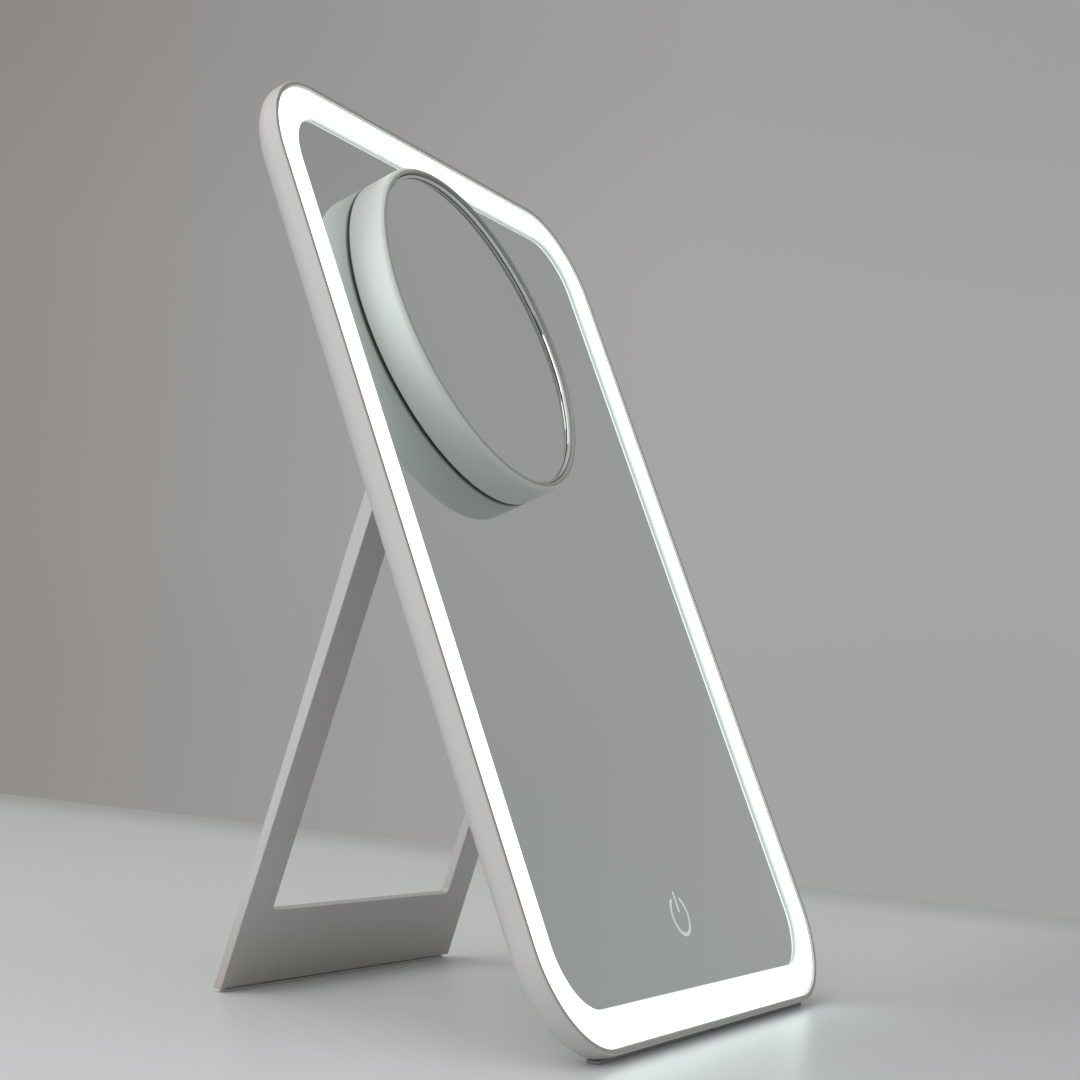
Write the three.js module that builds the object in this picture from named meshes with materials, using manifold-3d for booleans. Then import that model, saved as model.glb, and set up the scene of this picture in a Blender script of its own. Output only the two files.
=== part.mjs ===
// Travel mirror: a lit, flat mirror panel that leans on a fold-out frame stand, with a round
// magnifying mirror held on its glass by magnets. Millimetres, +Z up, standing on z = 0.
//
// The panel is drawn in its own frame: x to the right, y up along the panel from its lower edge,
// z out of its front, with z = 0 on the face of the light. The stand is drawn in a frame on its
// hinge axis, and the magnifier in a frame on its own centre line.

import * as THREE from 'three';
import { mergeVertices } from 'three/addons/utils/BufferGeometryUtils.js';
import Module from 'manifold-3d';

const wasm = await Module();
wasm.setup();

// Clearances
const gap = 0.3; // between pieces that touch
const slack = 1.0; // between the folded stand and the sides of its well

// Panel outline and housing
const panelWidth = 240;
const panelHeight = 336;
const cornerRadius = 35.3;
const rimWidth = 1.8;
const rimRise = 0.9;
const rimRound = 0.6;
const backEdgeWidth = 14;
const backEdgeDepth = 8;
const backSkin = 1.4;

// Light round the mirror
const bandWidth = 11.6;
const diffuserThickness = 2.0;
const lipReach = 2.4; // of the bevelled inner lip that holds the mirror's edge
const lipEnd = 0.2;
const frameWall = 1.2;
const ledgeWidth = 3.6;
const ledgeThickness = 1.0;
const stripWidth = 5;
const stripThickness = 0.4;
const lampPitch = 20;
const lampLength = 2.8;
const lampWidth = 2.4;
const lampHeight = 0.7;

// Mirror, its steel plate and the touch sensor behind the glass
const mirrorSink = 1.3;
const mirrorThickness = 2.0;
const steelMargin = 0.6;
const steelThickness = 0.5;
const touchSize = 15;
const touchHeight = 38;
const touchCorner = 1.5;
const touchClearance = 0.6;
const tapeGap = 0.65;

// Stand
const standWidth = 157.6;
const standLength = 199.5;
const standThickness = 5.0;
const footThickness = 3.0;
const taperStart = 50;
const taperBend = 85;
const taperSwell = 0.9;
const armWidth = 16.6;
const footBar = 27.4;
const topBar = 24;
const standCorner = 3;
const windowCorner = 2;
const openAngle = 39.4;
const tiltRange = [2, 60]; // within which the open mirror's tilt from upright is looked for
const foldedFoot = 16.4; // from the panel's lower edge to the foot of the folded stand
const wellGap = 0.35;
const wellSkin = 1.2;
const footStrip = 0.9;
const footStripInset = 4; // clear of the well's round corners
const fingerNotchRadius = 12;

// Hinges
const hingeInset = 30.8; // from the stand's side to the middle of each hinge
const earWidth = 6;
const earRadius = 2.4;
const washerThickness = 0.6;
const washerRadius = 2.2;
const lugWidth = 9;
const pinRadius = 1.0;
const heelWidth = 60;
const heelReach = 5;
const heelThickness = 1.7;
const bracketWidth = 18;
const bracketLength = 12.5;
const bracketThickness = 1.5;
const neckThickness = 3.1;

// Screws and bosses
const screwRadius = 1.0;
const screwHeadRadius = 1.9;
const screwHeadHeight = 1.1;
const bossRadius = 2.6;
const boardScrewLength = 2.6;
const bracketScrewLength = 3.6;
const screwSkin = 0.6;

// Boards and cells
const cellRoom = 1.75; // beside each cell
const cellLength = 130;
const cellThickness = 4.0;
const cellHeight = 125;
const cellRound = 2;
const boardWidth = 72;
const boardLength = 42;
const boardThickness = 1.0;
const boardDistance = 9; // from the hinge brackets
const boardRise = 1.2;
const ribThickness = 1.2;
const ribHeight = 2.0;
const ribCount = 3;

// Buttons and charging inlet in the right-hand edge
const powerDrop = 100; // from the panel's upper edge
const buttonSpacing = 24;
const buttonLength = 13;
const buttonWidth = 2.6;
const buttonProud = 0.5;
const buttonTravel = 0.5;
const flangeReach = 1.6;
const flangeThickness = 1.2;
const guideInset = 9;
const guideMargin = 3;
const stemReach = 0.3;
const stemRadius = 1.1;
const actuatorReach = 1.1;
const actuatorRadius = 0.9;
const switchBody = 1.8;
const switchLength = 5.2;
const inletHeight = 46;
const inletLength = 9;
const inletWidth = 3.2;
const inletDepth = 7.3;
const inletWall = 0.35;
const inletRecess = 5.4;
const tongueThickness = 0.7;
const tongueInset = 1.4;
const tongueRecess = 0.8;
const inletBoardLength = 11.7;
const inletBoardMargin = 5;
const inletPostSize = 3;

// Feet of the panel
const footWidth = 4;
const footRise = 0.6;
const footSeat = 0.5;
const footInset = 28; // from the panel's side to the end of each foot
const footDistance = 2; // between the feet

// Magnifier
const magnifierSide = 10.9; // of bare glass left of the magnifier
const magnifierDrop = 11.9; // of bare glass above the magnifier
const magnifierRadius = 62.4;
const magnifierRise = 14.4;
const casingWall = 2.5;
const casingRound = 2.2;
const glassSink = 2.5;
const glassThickness = 2.0;
const glassCurve = 600;
const trimWidth = 0.8;
const trimHeight = 0.9;
const seatWidth = 3.5;
const seatThickness = 1.0;
const coverThickness = 1.5;
const skirtRise = 0.6; // of the casing's lower edge above the glass it sits on
const padThickness = 0.9;
const padWidth = 12;
const magnetRadius = 6;
const magnetThickness = 2.5;
const magnetCircle = 40;
const magnetCount = 4;

// Facets, and how far joined bodies reach into each other
const overlap = 0.2;
const cornerSteps = 8;
const roundSteps = 64;
const discSteps = 20;
const rodSteps = 12;
const holeSteps = 8;
const roundEnds = 0.98; // share of half its width that rounds the ends of a bar

// Levels through the panel, from the face of the light to the back
const mirrorFront = -mirrorSink;
const mirrorBack = mirrorFront - mirrorThickness;
const steelFront = mirrorBack - gap;
const steelBack = steelFront - steelThickness;
const ledgeFront = steelBack - gap;
const ledgeBack = ledgeFront - ledgeThickness;
const wellFront = steelBack - tapeGap;
const wellFloor = wellFront - wellSkin;
const hingeLevel = wellFloor - wellGap - standThickness / 2;
const backFace = hingeLevel - standThickness / 2;
const backInside = backFace + backSkin;
const edgeLevel = backFace + backEdgeDepth;
const boreRadius = pinRadius + gap;

// Places that follow from the sizes above
const hingeHeight = foldedFoot + standLength;
const hingeSpacing = standWidth - hingeInset * 2;
const footLength = (panelWidth - footDistance) / 2 - footInset;
const footSpacing = footLength + footDistance;
const powerHeight = panelHeight - powerDrop;
const brightnessHeight = powerHeight - buttonSpacing;

// Insets from the panel's outline
const bandInset = rimWidth + bandWidth;
const mirrorInset = bandInset + gap;
const steelInset = mirrorInset + steelMargin;
const ledgeInset = bandInset + ledgeWidth;
const magnifierX = bandInset + magnifierSide + magnifierRadius - panelWidth / 2;
const magnifierHeight = panelHeight - bandInset - magnifierDrop - magnifierRadius;

// Well for the folded stand
const windowTop = -earRadius - gap * 2 - topBar;
const windowBottom = -standLength + footBar;
const heelSwing = Math.hypot(heelReach, standThickness / 2);

const degrees = Math.PI / 180;
const turn = openAngle * degrees;

const finishes = {
  shell: { color: 0xc9c5c1, roughness: 0.55, metalness: 0 },
  diffuser: { color: 0xffffff, roughness: 0.4, metalness: 0, emissive: 0xffffff, emissiveIntensity: 1 },
  reflector: { color: 0xf2f2f0, roughness: 0.5, metalness: 0 },
  mirror: { color: 0xdfe3e1, roughness: 0.02, metalness: 1 },
  steel: { color: 0x9a9c9e, roughness: 0.35, metalness: 1 },
  chrome: { color: 0xd8dadc, roughness: 0.08, metalness: 1 },
  rubber: { color: 0x3a3a3b, roughness: 0.85, metalness: 0 },
  board: { color: 0x1f5a3a, roughness: 0.6, metalness: 0 },
  cell: { color: 0xb8bcc2, roughness: 0.4, metalness: 0 },
  contact: { color: 0x222326, roughness: 0.5, metalness: 0 },
};

// Solids

function solid(geometry) {
  const bare = geometry.index ? geometry.clone() : geometry;
  bare.deleteAttribute('normal');
  bare.deleteAttribute('uv');
  const merged = mergeVertices(bare, 1e-5);
  const vertProperties = new Float32Array(merged.attributes.position.array);
  const triVerts = new Uint32Array(merged.index.array);
  return new wasm.Manifold(new wasm.Mesh({ numProp: 3, vertProperties, triVerts }));
}

function geometryOf(body) {
  const mesh = body.getMesh();
  const geometry = new THREE.BufferGeometry();
  geometry.setAttribute('position', new THREE.BufferAttribute(new Float32Array(mesh.vertProperties), 3));
  geometry.setIndex(new THREE.BufferAttribute(new Uint32Array(mesh.triVerts), 1));
  return geometry;
}

function piece(name, body, finish) {
  const mesh = new THREE.Mesh(geometryOf(body), new THREE.MeshStandardMaterial(finishes[finish]));
  mesh.name = name;
  return mesh;
}

function join(bodies) {
  return bodies.reduce((whole, body) => whole.add(body));
}

// A box between two opposite corners
function block(low, high) {
  const size = high.map((value, axis) => value - low[axis]);
  const centre = high.map((value, axis) => (value + low[axis]) / 2);
  return solid(new THREE.BoxGeometry(...size).translate(...centre));
}

// A cylinder from one level to another along z
function post(radius, x, y, low, high, steps = rodSteps) {
  const rod = new THREE.CylinderGeometry(radius, radius, high - low, steps);
  return solid(rod.rotateX(Math.PI / 2).translate(x, y, (low + high) / 2));
}

// A cylinder between two places along x
function rodAlongX(radius, left, right, y, z, steps = rodSteps) {
  const rod = new THREE.CylinderGeometry(radius, radius, right - left, steps);
  return solid(rod.rotateZ(Math.PI / 2).translate((left + right) / 2, y, z));
}

function extruded(shape, low, high, steps = cornerSteps) {
  const depth = high - low;
  const geometry = new THREE.ExtrudeGeometry(shape, { depth, bevelEnabled: false, curveSegments: steps });
  return solid(geometry.translate(0, 0, low));
}

// A profile in (y, z), drawn out along x
function drawnAlongX(profile, left, right, steps = cornerSteps) {
  const depth = right - left;
  const geometry = new THREE.ExtrudeGeometry(profile, { depth, bevelEnabled: false, curveSegments: steps });
  geometry.applyMatrix4(new THREE.Matrix4().makeBasis(
    new THREE.Vector3(0, 1, 0),
    new THREE.Vector3(0, 0, 1),
    new THREE.Vector3(1, 0, 0),
  ));
  return solid(geometry.translate(left, 0, 0));
}

function turned(points, steps = roundSteps) {
  const profile = points.map(([radius, level]) => new THREE.Vector2(radius, level));
  return solid(new THREE.LatheGeometry(profile, steps).rotateX(Math.PI / 2));
}

function roundedRectangle(left, bottom, right, top, radius) {
  const path = new THREE.Shape();
  path.absarc(right - radius, bottom + radius, radius, -Math.PI / 2, 0);
  path.absarc(right - radius, top - radius, radius, 0, Math.PI / 2);
  path.absarc(left + radius, top - radius, radius, Math.PI / 2, Math.PI);
  path.absarc(left + radius, bottom + radius, radius, Math.PI, Math.PI * 1.5);
  path.closePath();
  return path;
}

// The panel's outline, drawn in by an inset
function panelOutline(inset) {
  const half = panelWidth / 2 - inset;
  return roundedRectangle(-half, inset, half, panelHeight - inset, Math.max(cornerRadius - inset, 1));
}

function ringOfPanel(inset, level) {
  const radius = Math.max(cornerRadius - inset, 1);
  const reach = panelWidth / 2 - inset - radius;
  const rise = [inset + radius, panelHeight - inset - radius];
  const corners = [[reach, rise[0]], [reach, rise[1]], [-reach, rise[1]], [-reach, rise[0]]];
  const ring = [];
  corners.forEach(([x, y], quarter) => {
    for (let step = 0; step <= cornerSteps; step += 1) {
      const angle = (quarter - 1 + step / cornerSteps) * Math.PI / 2;
      ring.push(x + radius * Math.cos(angle), y + radius * Math.sin(angle), level);
    }
  });
  return ring;
}

// A profile of [inset, level] points carried round the panel's outline. Going up in level on the
// outside, an open profile is capped at both ends and a closed one makes a ring.
function carriedRound(profile, closed) {
  const positions = profile.flatMap(([inset, level]) => ringOfPanel(inset, level));
  const count = (cornerSteps + 1) * 4;
  const index = [];
  const bands = closed ? profile.length : profile.length - 1;
  for (let band = 0; band < bands; band += 1) {
    const low = band * count;
    const high = ((band + 1) % profile.length) * count;
    for (let side = 0; side < count; side += 1) {
      const next = (side + 1) % count;
      index.push(low + side, low + next, high + next, low + side, high + next, high + side);
    }
  }
  if (!closed) {
    const last = (profile.length - 1) * count;
    for (let side = 1; side < count - 1; side += 1) {
      index.push(0, side + 1, side, last, last + side, last + side + 1);
    }
  }
  const geometry = new THREE.BufferGeometry();
  geometry.setAttribute('position', new THREE.Float32BufferAttribute(positions, 3));
  geometry.setIndex(index);
  return solid(geometry);
}

// Quarter-ellipse from the flat back out to the side wall, as [inset, level] points
function backEdge(wall, skin, steps) {
  const edge = [];
  for (let step = 0; step <= steps; step += 1) {
    const angle = (1 - step / steps) * Math.PI / 2;
    edge.push([
      wall + (backEdgeWidth - wall) * (1 - Math.cos(angle)),
      edgeLevel - (backEdgeDepth - skin) * Math.sin(angle),
    ]);
  }
  return edge;
}

// How far the housing's outside has drawn in at a level
function edgeInset(level) {
  const sine = Math.min(Math.max((edgeLevel - level) / backEdgeDepth, 0), 1);
  return backEdgeWidth * (1 - Math.sqrt(1 - sine * sine));
}

function outerBody() {
  const round = [0, 1, 2].map((step) => {
    const angle = step / 2 * Math.PI / 2;
    return [rimRound * (1 - Math.cos(angle)), rimRise - rimRound * (1 - Math.sin(angle))];
  });
  return carriedRound([...backEdge(0, 0, 7), ...round], false);
}

// The stand's frame in its folded place, grown or shrunk all round
function wellOutline(growth) {
  const half = standWidth / 2 + growth;
  const bottom = hingeHeight - standLength - growth - Math.tan(turn) * wellGap;
  const top = hingeHeight + heelSwing + growth - slack / 2;
  const outline = roundedRectangle(-half, bottom, half, top, standCorner + slack);
  const window = roundedRectangle(
    -standWidth / 2 + armWidth + growth,
    hingeHeight + windowBottom + growth,
    standWidth / 2 - armWidth - growth,
    hingeHeight + windowTop - growth,
    windowCorner,
  );
  outline.holes.push(window);
  return outline;
}

// Where the panel stands: its tilt from upright, its lowest line and the stand's foot

function levelAt(y, z, tilt) {
  return y * Math.cos(tilt) + z * Math.sin(tilt);
}

function lowestOfEdge(tilt) {
  const width = backEdgeWidth * Math.cos(tilt);
  const depth = backEdgeDepth * Math.sin(tilt);
  const reach = Math.hypot(width, depth);
  return {
    y: backEdgeWidth - backEdgeWidth * width / reach,
    z: edgeLevel - backEdgeDepth * depth / reach,
  };
}

function floorLevel(tilt) {
  const lowest = lowestOfEdge(tilt);
  return levelAt(lowest.y, lowest.z, tilt) - footRise;
}

function heelOfFoot() {
  const face = standThickness / 2;
  return {
    y: hingeHeight - standLength * Math.cos(turn) - face * Math.sin(turn),
    z: hingeLevel - standLength * Math.sin(turn) + face * Math.cos(turn),
  };
}

function restingTilt() {
  const foot = heelOfFoot();
  let [low, high] = tiltRange.map((angle) => angle * degrees);
  for (let round = 0; round < 50; round += 1) {
    const middle = (low + high) / 2;
    const above = levelAt(foot.y, foot.z, middle) > floorLevel(middle);
    if (above) low = middle;
    else high = middle;
  }
  return (low + high) / 2;
}

const tilt = restingTilt();
const lean = turn - tilt;

// Housing

const buttonLevel = (ledgeBack + backInside) / 2;
const guideFace = panelWidth / 2 - guideInset;
const flangeFace = guideFace - gap;
const flangeBack = flangeFace - flangeThickness;
const stemEnd = flangeBack - stemReach;
const actuatorFace = stemEnd - buttonTravel - gap;
const switchFace = actuatorFace - actuatorReach;
const switchBack = switchFace - switchBody;
const switchBoardFace = switchBack - gap;

// A rounded bar along x that passes through the right-hand edge
function edgeSlot(height, length, width, left, right) {
  const radius = width / 2;
  const outline = roundedRectangle(
    height - length / 2,
    buttonLevel - radius,
    height + length / 2,
    buttonLevel + radius,
    radius * roundEnds,
  );
  return drawnAlongX(outline, left, right, 4);
}

function floorBox(length, width, low, high) {
  const place = lowestOfEdge(tilt);
  const geometry = new THREE.BoxGeometry(length, width, high - low);
  geometry.translate(0, 0, (low + high) / 2);
  geometry.rotateX(tilt - Math.PI / 2);
  return solid(geometry.translate(0, place.y, place.z));
}

const bracketBase = hingeHeight + heelSwing + slack / 2 + wellSkin + gap;
const boardHeight = bracketBase + bracketLength + boardDistance + boardLength / 2;
const boardCorners = [-1, 1].flatMap((side) => [-1, 1].map((end) => [
  side * (boardWidth / 2 - bossRadius - gap),
  boardHeight + end * (boardLength / 2 - bossRadius - gap),
]));
const bracketScrews = [-1, 1].flatMap((hinge) => [-1, 1].map((side) => [
  hinge * hingeSpacing / 2 + side * (bracketWidth / 2 - screwHeadRadius - gap * 2),
  bracketBase + bracketLength / 2,
]));
const boardBack = backInside + boardRise;
const boardFront = boardBack + boardThickness;
const neckBack = backInside + gap;
const baseFront = neckBack + neckThickness;
const baseBack = baseFront - bracketThickness;
const inletMouth = panelWidth / 2 - inletRecess;
const inletBack = inletMouth - inletDepth;
const inletBoardLevel = buttonLevel - boardThickness / 2;
const inletBoardHalf = inletLength / 2 + inletBoardMargin;

function screwHoles(places, low, high) {
  return join(places.map(([x, y]) => post(screwRadius + gap, x, y, low, high, holeSteps)));
}

// Half-round room above the foot bar of the folded stand, for a fingertip
function fingerNotch(radius, low, high) {
  return post(radius, 0, hingeHeight + windowBottom, low, high, discSteps);
}

function rearShell() {
  const outer = outerBody();
  const hollow = carriedRound([...backEdge(rimWidth, backSkin, 4), [rimWidth, rimRise + 1]], false);
  const wellBody = extruded(wellOutline(slack + wellSkin), backFace + overlap, wellFront, 3);
  const notchBody = fingerNotch(fingerNotchRadius + wellSkin, backFace + overlap, wellFront);
  const ribs = [];
  const islandLow = hingeHeight + windowBottom + slack;
  const islandHigh = hingeHeight + windowTop - slack;
  const islandHalf = standWidth / 2 - armWidth - slack;
  for (let rib = 1; rib <= ribCount; rib += 1) {
    const x = -islandHalf + rib * islandHalf * 2 / (ribCount + 1);
    ribs.push(block([x - ribThickness / 2, islandLow, backInside - overlap],
      [x + ribThickness / 2, islandHigh, backInside + ribHeight]));
  }
  const bosses = [
    ...boardCorners.map(([x, y]) => post(bossRadius, x, y, backInside - overlap, boardBack - gap)),
    ...bracketScrews.map(([x, y]) => post(bossRadius, x, y, backInside - overlap, baseBack - gap)),
  ];
  const guides = [powerHeight, brightnessHeight].map((height) => {
    const half = buttonLength / 2 + guideMargin;
    return block([guideFace, height - half, backInside - overlap],
      [panelWidth / 2, height + half, ledgeBack - gap]).intersect(outer);
  });
  const inletPosts = [-1, 1].map((side) => {
    const right = inletBack - inletPostSize;
    const middle = inletHeight + side * (inletBoardHalf - inletPostSize / 2);
    return block([right - inletPostSize, middle - inletPostSize / 2, backInside - overlap],
      [right, middle + inletPostSize / 2, inletBoardLevel - gap]);
  });
  const added = [wellBody, notchBody, ...ribs, ...bosses, ...guides, ...inletPosts];
  let shell = outer.subtract(hollow).add(join(added));

  const notch = fingerNotch(fingerNotchRadius, backFace - 1, wellFloor);
  const well = extruded(wellOutline(slack), backFace - 1, wellFloor, 3);
  const slots = [-1, 1].map((hinge) => block(
    [hinge * hingeSpacing / 2 - earWidth / 2 - gap, hingeHeight, neckBack - gap],
    [hinge * hingeSpacing / 2 + earWidth / 2 + gap, bracketBase, baseFront + gap],
  ));
  const cuts = [
    well,
    notch,
    ...slots,
    screwHoles([...boardCorners, ...bracketScrews], backFace + screwSkin, wellFront),
    edgeSlot(powerHeight, buttonLength + gap * 2, buttonWidth + gap * 2, guideFace - 1, panelWidth / 2 + 1),
    edgeSlot(brightnessHeight, buttonLength + gap * 2, buttonWidth + gap * 2, guideFace - 1, panelWidth / 2 + 1),
    edgeSlot(inletHeight, inletLength + gap * 2, inletWidth + gap * 2, inletBack, panelWidth / 2 + 1),
    ...[-1, 1].map((side) => floorBox(footLength + gap * 2, footWidth + gap * 2, -footRise - 1, footSeat + gap)
      .translate([side * footSpacing / 2, 0, 0])),
  ];
  cuts.forEach((cut) => { shell = shell.subtract(cut); });
  return shell;
}

// Light

function lightFrame() {
  const outside = rimWidth + gap + edgeInset(ledgeBack);
  const wallTop = -diffuserThickness - gap;
  const ring = carriedRound([
    [outside, ledgeBack],
    [outside, wallTop],
    [outside + frameWall, wallTop],
    [outside + frameWall, ledgeFront],
    [bandInset - frameWall, ledgeFront],
    [bandInset - frameWall, wallTop],
    [bandInset, wallTop],
    [bandInset, ledgeFront],
    [ledgeInset, ledgeFront],
    [ledgeInset, ledgeBack],
  ], true);
  const wellRoom = extruded(wellOutline(slack + wellSkin + gap), ledgeBack - 1, ledgeFront + overlap, 3);
  return ring.subtract(wellRoom);
}

function lightDiffuser() {
  const outside = rimWidth + gap;
  const lipBack = mirrorFront + gap;
  return carriedRound([
    [outside, -diffuserThickness],
    [outside, 0],
    [bandInset, 0],
    [bandInset + lipReach, lipBack + lipEnd],
    [bandInset + lipReach, lipBack],
    [bandInset, lipBack],
    [bandInset, -diffuserThickness],
  ], true);
}

// A strip of lamps along x, with its middle at the origin
function lampStrip(length) {
  const lampCount = Math.floor(length / lampPitch);
  const lamps = [];
  for (let lamp = 0; lamp < lampCount; lamp += 1) {
    const x = (lamp - (lampCount - 1) / 2) * lampPitch;
    lamps.push(block([x - lampLength / 2, -lampWidth / 2, 0],
      [x + lampLength / 2, lampWidth / 2, stripThickness + lampHeight]));
  }
  const strip = block([-length / 2, -stripWidth / 2, 0], [length / 2, stripWidth / 2, stripThickness]);
  return strip.add(join(lamps));
}

const stripInset = (rimWidth + gap + edgeInset(ledgeBack) + bandInset) / 2;
const stripLevel = ledgeFront + gap;
const strips = [
  ['top', panelWidth - cornerRadius * 2, 0, panelHeight - stripInset, 0],
  ['bottom', panelWidth - cornerRadius * 2, 0, stripInset, 0],
  ['left', panelHeight - cornerRadius * 2, stripInset - panelWidth / 2, panelHeight / 2, 90],
  ['right', panelHeight - cornerRadius * 2, panelWidth / 2 - stripInset, panelHeight / 2, 90],
];

// Mirror

function touchPlace(margin) {
  const half = touchSize / 2 + margin;
  return roundedRectangle(-half, touchHeight - half, half, touchHeight + half, touchCorner);
}

function mainMirror() {
  return extruded(panelOutline(mirrorInset), mirrorBack, mirrorFront);
}

function steelBackplate() {
  const outline = panelOutline(steelInset);
  outline.holes.push(touchPlace(touchClearance));
  return extruded(outline, steelBack, steelFront);
}

// Stand, in its own frame: the hinge axis along x at the origin, the folded plate down along -y

const face = standThickness / 2;
const notchFloor = -earRadius - gap * 2;
const hingeCentres = [-1, 1].map((side) => side * hingeSpacing / 2);
const lugStart = earWidth / 2 + gap + washerThickness + gap;

// The level line of the floor across the plate, at a height above the floor
function footLine(height, z) {
  return -standLength + (height - (face - z) * Math.sin(lean)) / Math.cos(lean);
}

function sideProfile() {
  const height = footStrip + gap;
  const back = face - footThickness;
  const profile = new THREE.Shape();
  profile.moveTo(footLine(height, back), back);
  profile.lineTo(footLine(height, face), face);
  profile.lineTo(0, face);
  profile.absarc(0, 0, face, Math.PI / 2, -Math.PI / 2, true);
  profile.lineTo(-taperStart, -face);
  profile.quadraticCurveTo(-taperBend, back - taperSwell, footLine(height, back), back);
  return profile;
}

function planOutline() {
  const half = standWidth / 2;
  const top = face + 1;
  const plan = new THREE.Shape();
  const bottom = -standLength - 2;
  plan.moveTo(-half, bottom);
  plan.lineTo(half, bottom);
  plan.lineTo(half, notchFloor - standCorner);
  plan.absarc(half - standCorner, notchFloor - standCorner, standCorner, 0, Math.PI / 2);
  const lugs = hingeCentres.slice().reverse().flatMap((centre) => [
    [centre + lugStart + lugWidth, centre + lugStart],
    [centre - lugStart, centre - lugStart - lugWidth],
  ]);
  lugs.forEach(([right, left]) => {
    plan.lineTo(right, notchFloor);
    plan.lineTo(right, top);
    plan.lineTo(left, top);
    plan.lineTo(left, notchFloor);
  });
  plan.lineTo(-half + standCorner, notchFloor);
  plan.absarc(-half + standCorner, notchFloor - standCorner, standCorner, Math.PI / 2, Math.PI);
  plan.closePath();
  plan.holes.push(roundedRectangle(
    -half + armWidth,
    windowBottom,
    half - armWidth,
    windowTop,
    windowCorner,
  ));
  return plan;
}

function standFrame() {
  const plate = drawnAlongX(sideProfile(), -standWidth / 2, standWidth / 2, 8);
  const plan = extruded(planOutline(), -standThickness, standThickness, 4);
  const heel = block([-heelWidth / 2, notchFloor - 1, -face], [heelWidth / 2, heelReach, heelThickness - face]);
  const bores = hingeCentres.map((centre) => {
    const reach = lugStart + lugWidth + 1;
    return rodAlongX(boreRadius, centre - reach, centre + reach, 0, 0);
  });
  return plate.intersect(plan).add(heel).subtract(join(bores));
}

function standFootStrip() {
  const back = face - footThickness;
  const profile = new THREE.Shape();
  profile.moveTo(footLine(0, back), back);
  profile.lineTo(footLine(0, face), face);
  profile.lineTo(footLine(footStrip, face), face);
  profile.lineTo(footLine(footStrip, back), back);
  const half = standWidth / 2 - footStripInset;
  return drawnAlongX(profile, -half, half);
}

function hingePin(centre) {
  const reach = lugStart + lugWidth - gap;
  return rodAlongX(pinRadius, centre - reach, centre + reach, 0, 0);
}

function frictionWasher() {
  const ring = new THREE.Shape().absarc(0, 0, washerRadius, 0, Math.PI * 2);
  ring.holes.push(new THREE.Path().absarc(0, 0, boreRadius, 0, Math.PI * 2));
  return drawnAlongX(ring, -washerThickness / 2, washerThickness / 2, holeSteps);
}

// Bracket in the panel's frame: an ear round the pin, a neck through the end wall of the well and
// a foot on two bosses
function hingeBracket(side) {
  const centre = side * hingeSpacing / 2;
  const half = earWidth / 2;
  const far = bracketBase + bracketLength;
  const ear = rodAlongX(earRadius, centre - half, centre + half, hingeHeight, hingeLevel);
  const neck = block([centre - half, hingeHeight, neckBack], [centre + half, far, baseFront]);
  const foot = block([centre - bracketWidth / 2, bracketBase, baseBack],
    [centre + bracketWidth / 2, far, baseFront]);
  const bore = rodAlongX(boreRadius, centre - half - 1, centre + half + 1, hingeHeight, hingeLevel);
  const holes = screwHoles(bracketScrews, baseBack - 1, baseFront + 1);
  return ear.add(neck).add(foot).subtract(bore).subtract(holes);
}

function screw(x, y, under, length) {
  const seat = under + gap;
  const head = post(screwHeadRadius, x, y, seat, seat + screwHeadHeight);
  return head.add(post(screwRadius, x, y, under - length, seat + overlap, holeSteps));
}

// Boards

// Width, length and height of what the main board carries, and where each lies from its middle
const carried = {
  controller: { size: [7, 7, 1.0], places: [[-4, 2]] },
  charger: { size: [5, 4, 0.9], places: [[14, 6]] },
  coil: { size: [6, 6, 1.6], places: [[22, -8]] },
  plug: { size: [8, 4, 1.4], places: [[-26, 0], [26, 6], [-8, -16]] },
};

function mainBoard() {
  let board = block([-boardWidth / 2, boardHeight - boardLength / 2, boardBack],
    [boardWidth / 2, boardHeight + boardLength / 2, boardFront]);
  Object.values(carried).forEach(({ size: [width, length, height], places }) => {
    places.forEach(([x, y]) => {
      board = board.add(block([x - width / 2, boardHeight + y - length / 2, boardFront - overlap],
        [x + width / 2, boardHeight + y + length / 2, boardFront + height]));
    });
  });
  return board.subtract(screwHoles(boardCorners, boardBack - 1, boardFront + 1));
}

function cell(side) {
  const inner = standWidth / 2 + slack + wellSkin + cellRoom;
  const outer = switchBoardFace - boardThickness - cellRoom;
  const centre = side * (inner + outer) / 2;
  const half = (outer - inner) / 2;
  const outline = roundedRectangle(centre - half, cellHeight - cellLength / 2,
    centre + half, cellHeight + cellLength / 2, cellRound);
  return extruded(outline, backInside + gap, backInside + gap + cellThickness, 4);
}

function inletBoard() {
  const right = inletBack - gap;
  return block([right - inletBoardLength, inletHeight - inletBoardHalf, inletBoardLevel],
    [right, inletHeight + inletBoardHalf, inletBoardLevel + boardThickness]);
}

// Socket: a metal sleeve with a closed back and a tongue on its centre line
function chargeInlet() {
  const floor = inletBack + inletWall * 2;
  const bore = edgeSlot(inletHeight, inletLength - inletWall * 2, inletWidth - inletWall * 2,
    floor, inletMouth + 1);
  const half = inletLength / 2 - tongueInset;
  const tongue = block([floor - overlap, inletHeight - half, buttonLevel - tongueThickness / 2],
    [inletMouth - tongueRecess, inletHeight + half, buttonLevel + tongueThickness / 2]);
  return edgeSlot(inletHeight, inletLength, inletWidth, inletBack, inletMouth).subtract(bore).add(tongue);
}

function switchBoard() {
  const low = brightnessHeight - buttonLength / 2;
  const high = powerHeight + buttonLength / 2;
  return block([switchBoardFace - boardThickness, low, backInside + gap],
    [switchBoardFace, high, ledgeBack - gap]);
}

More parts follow.
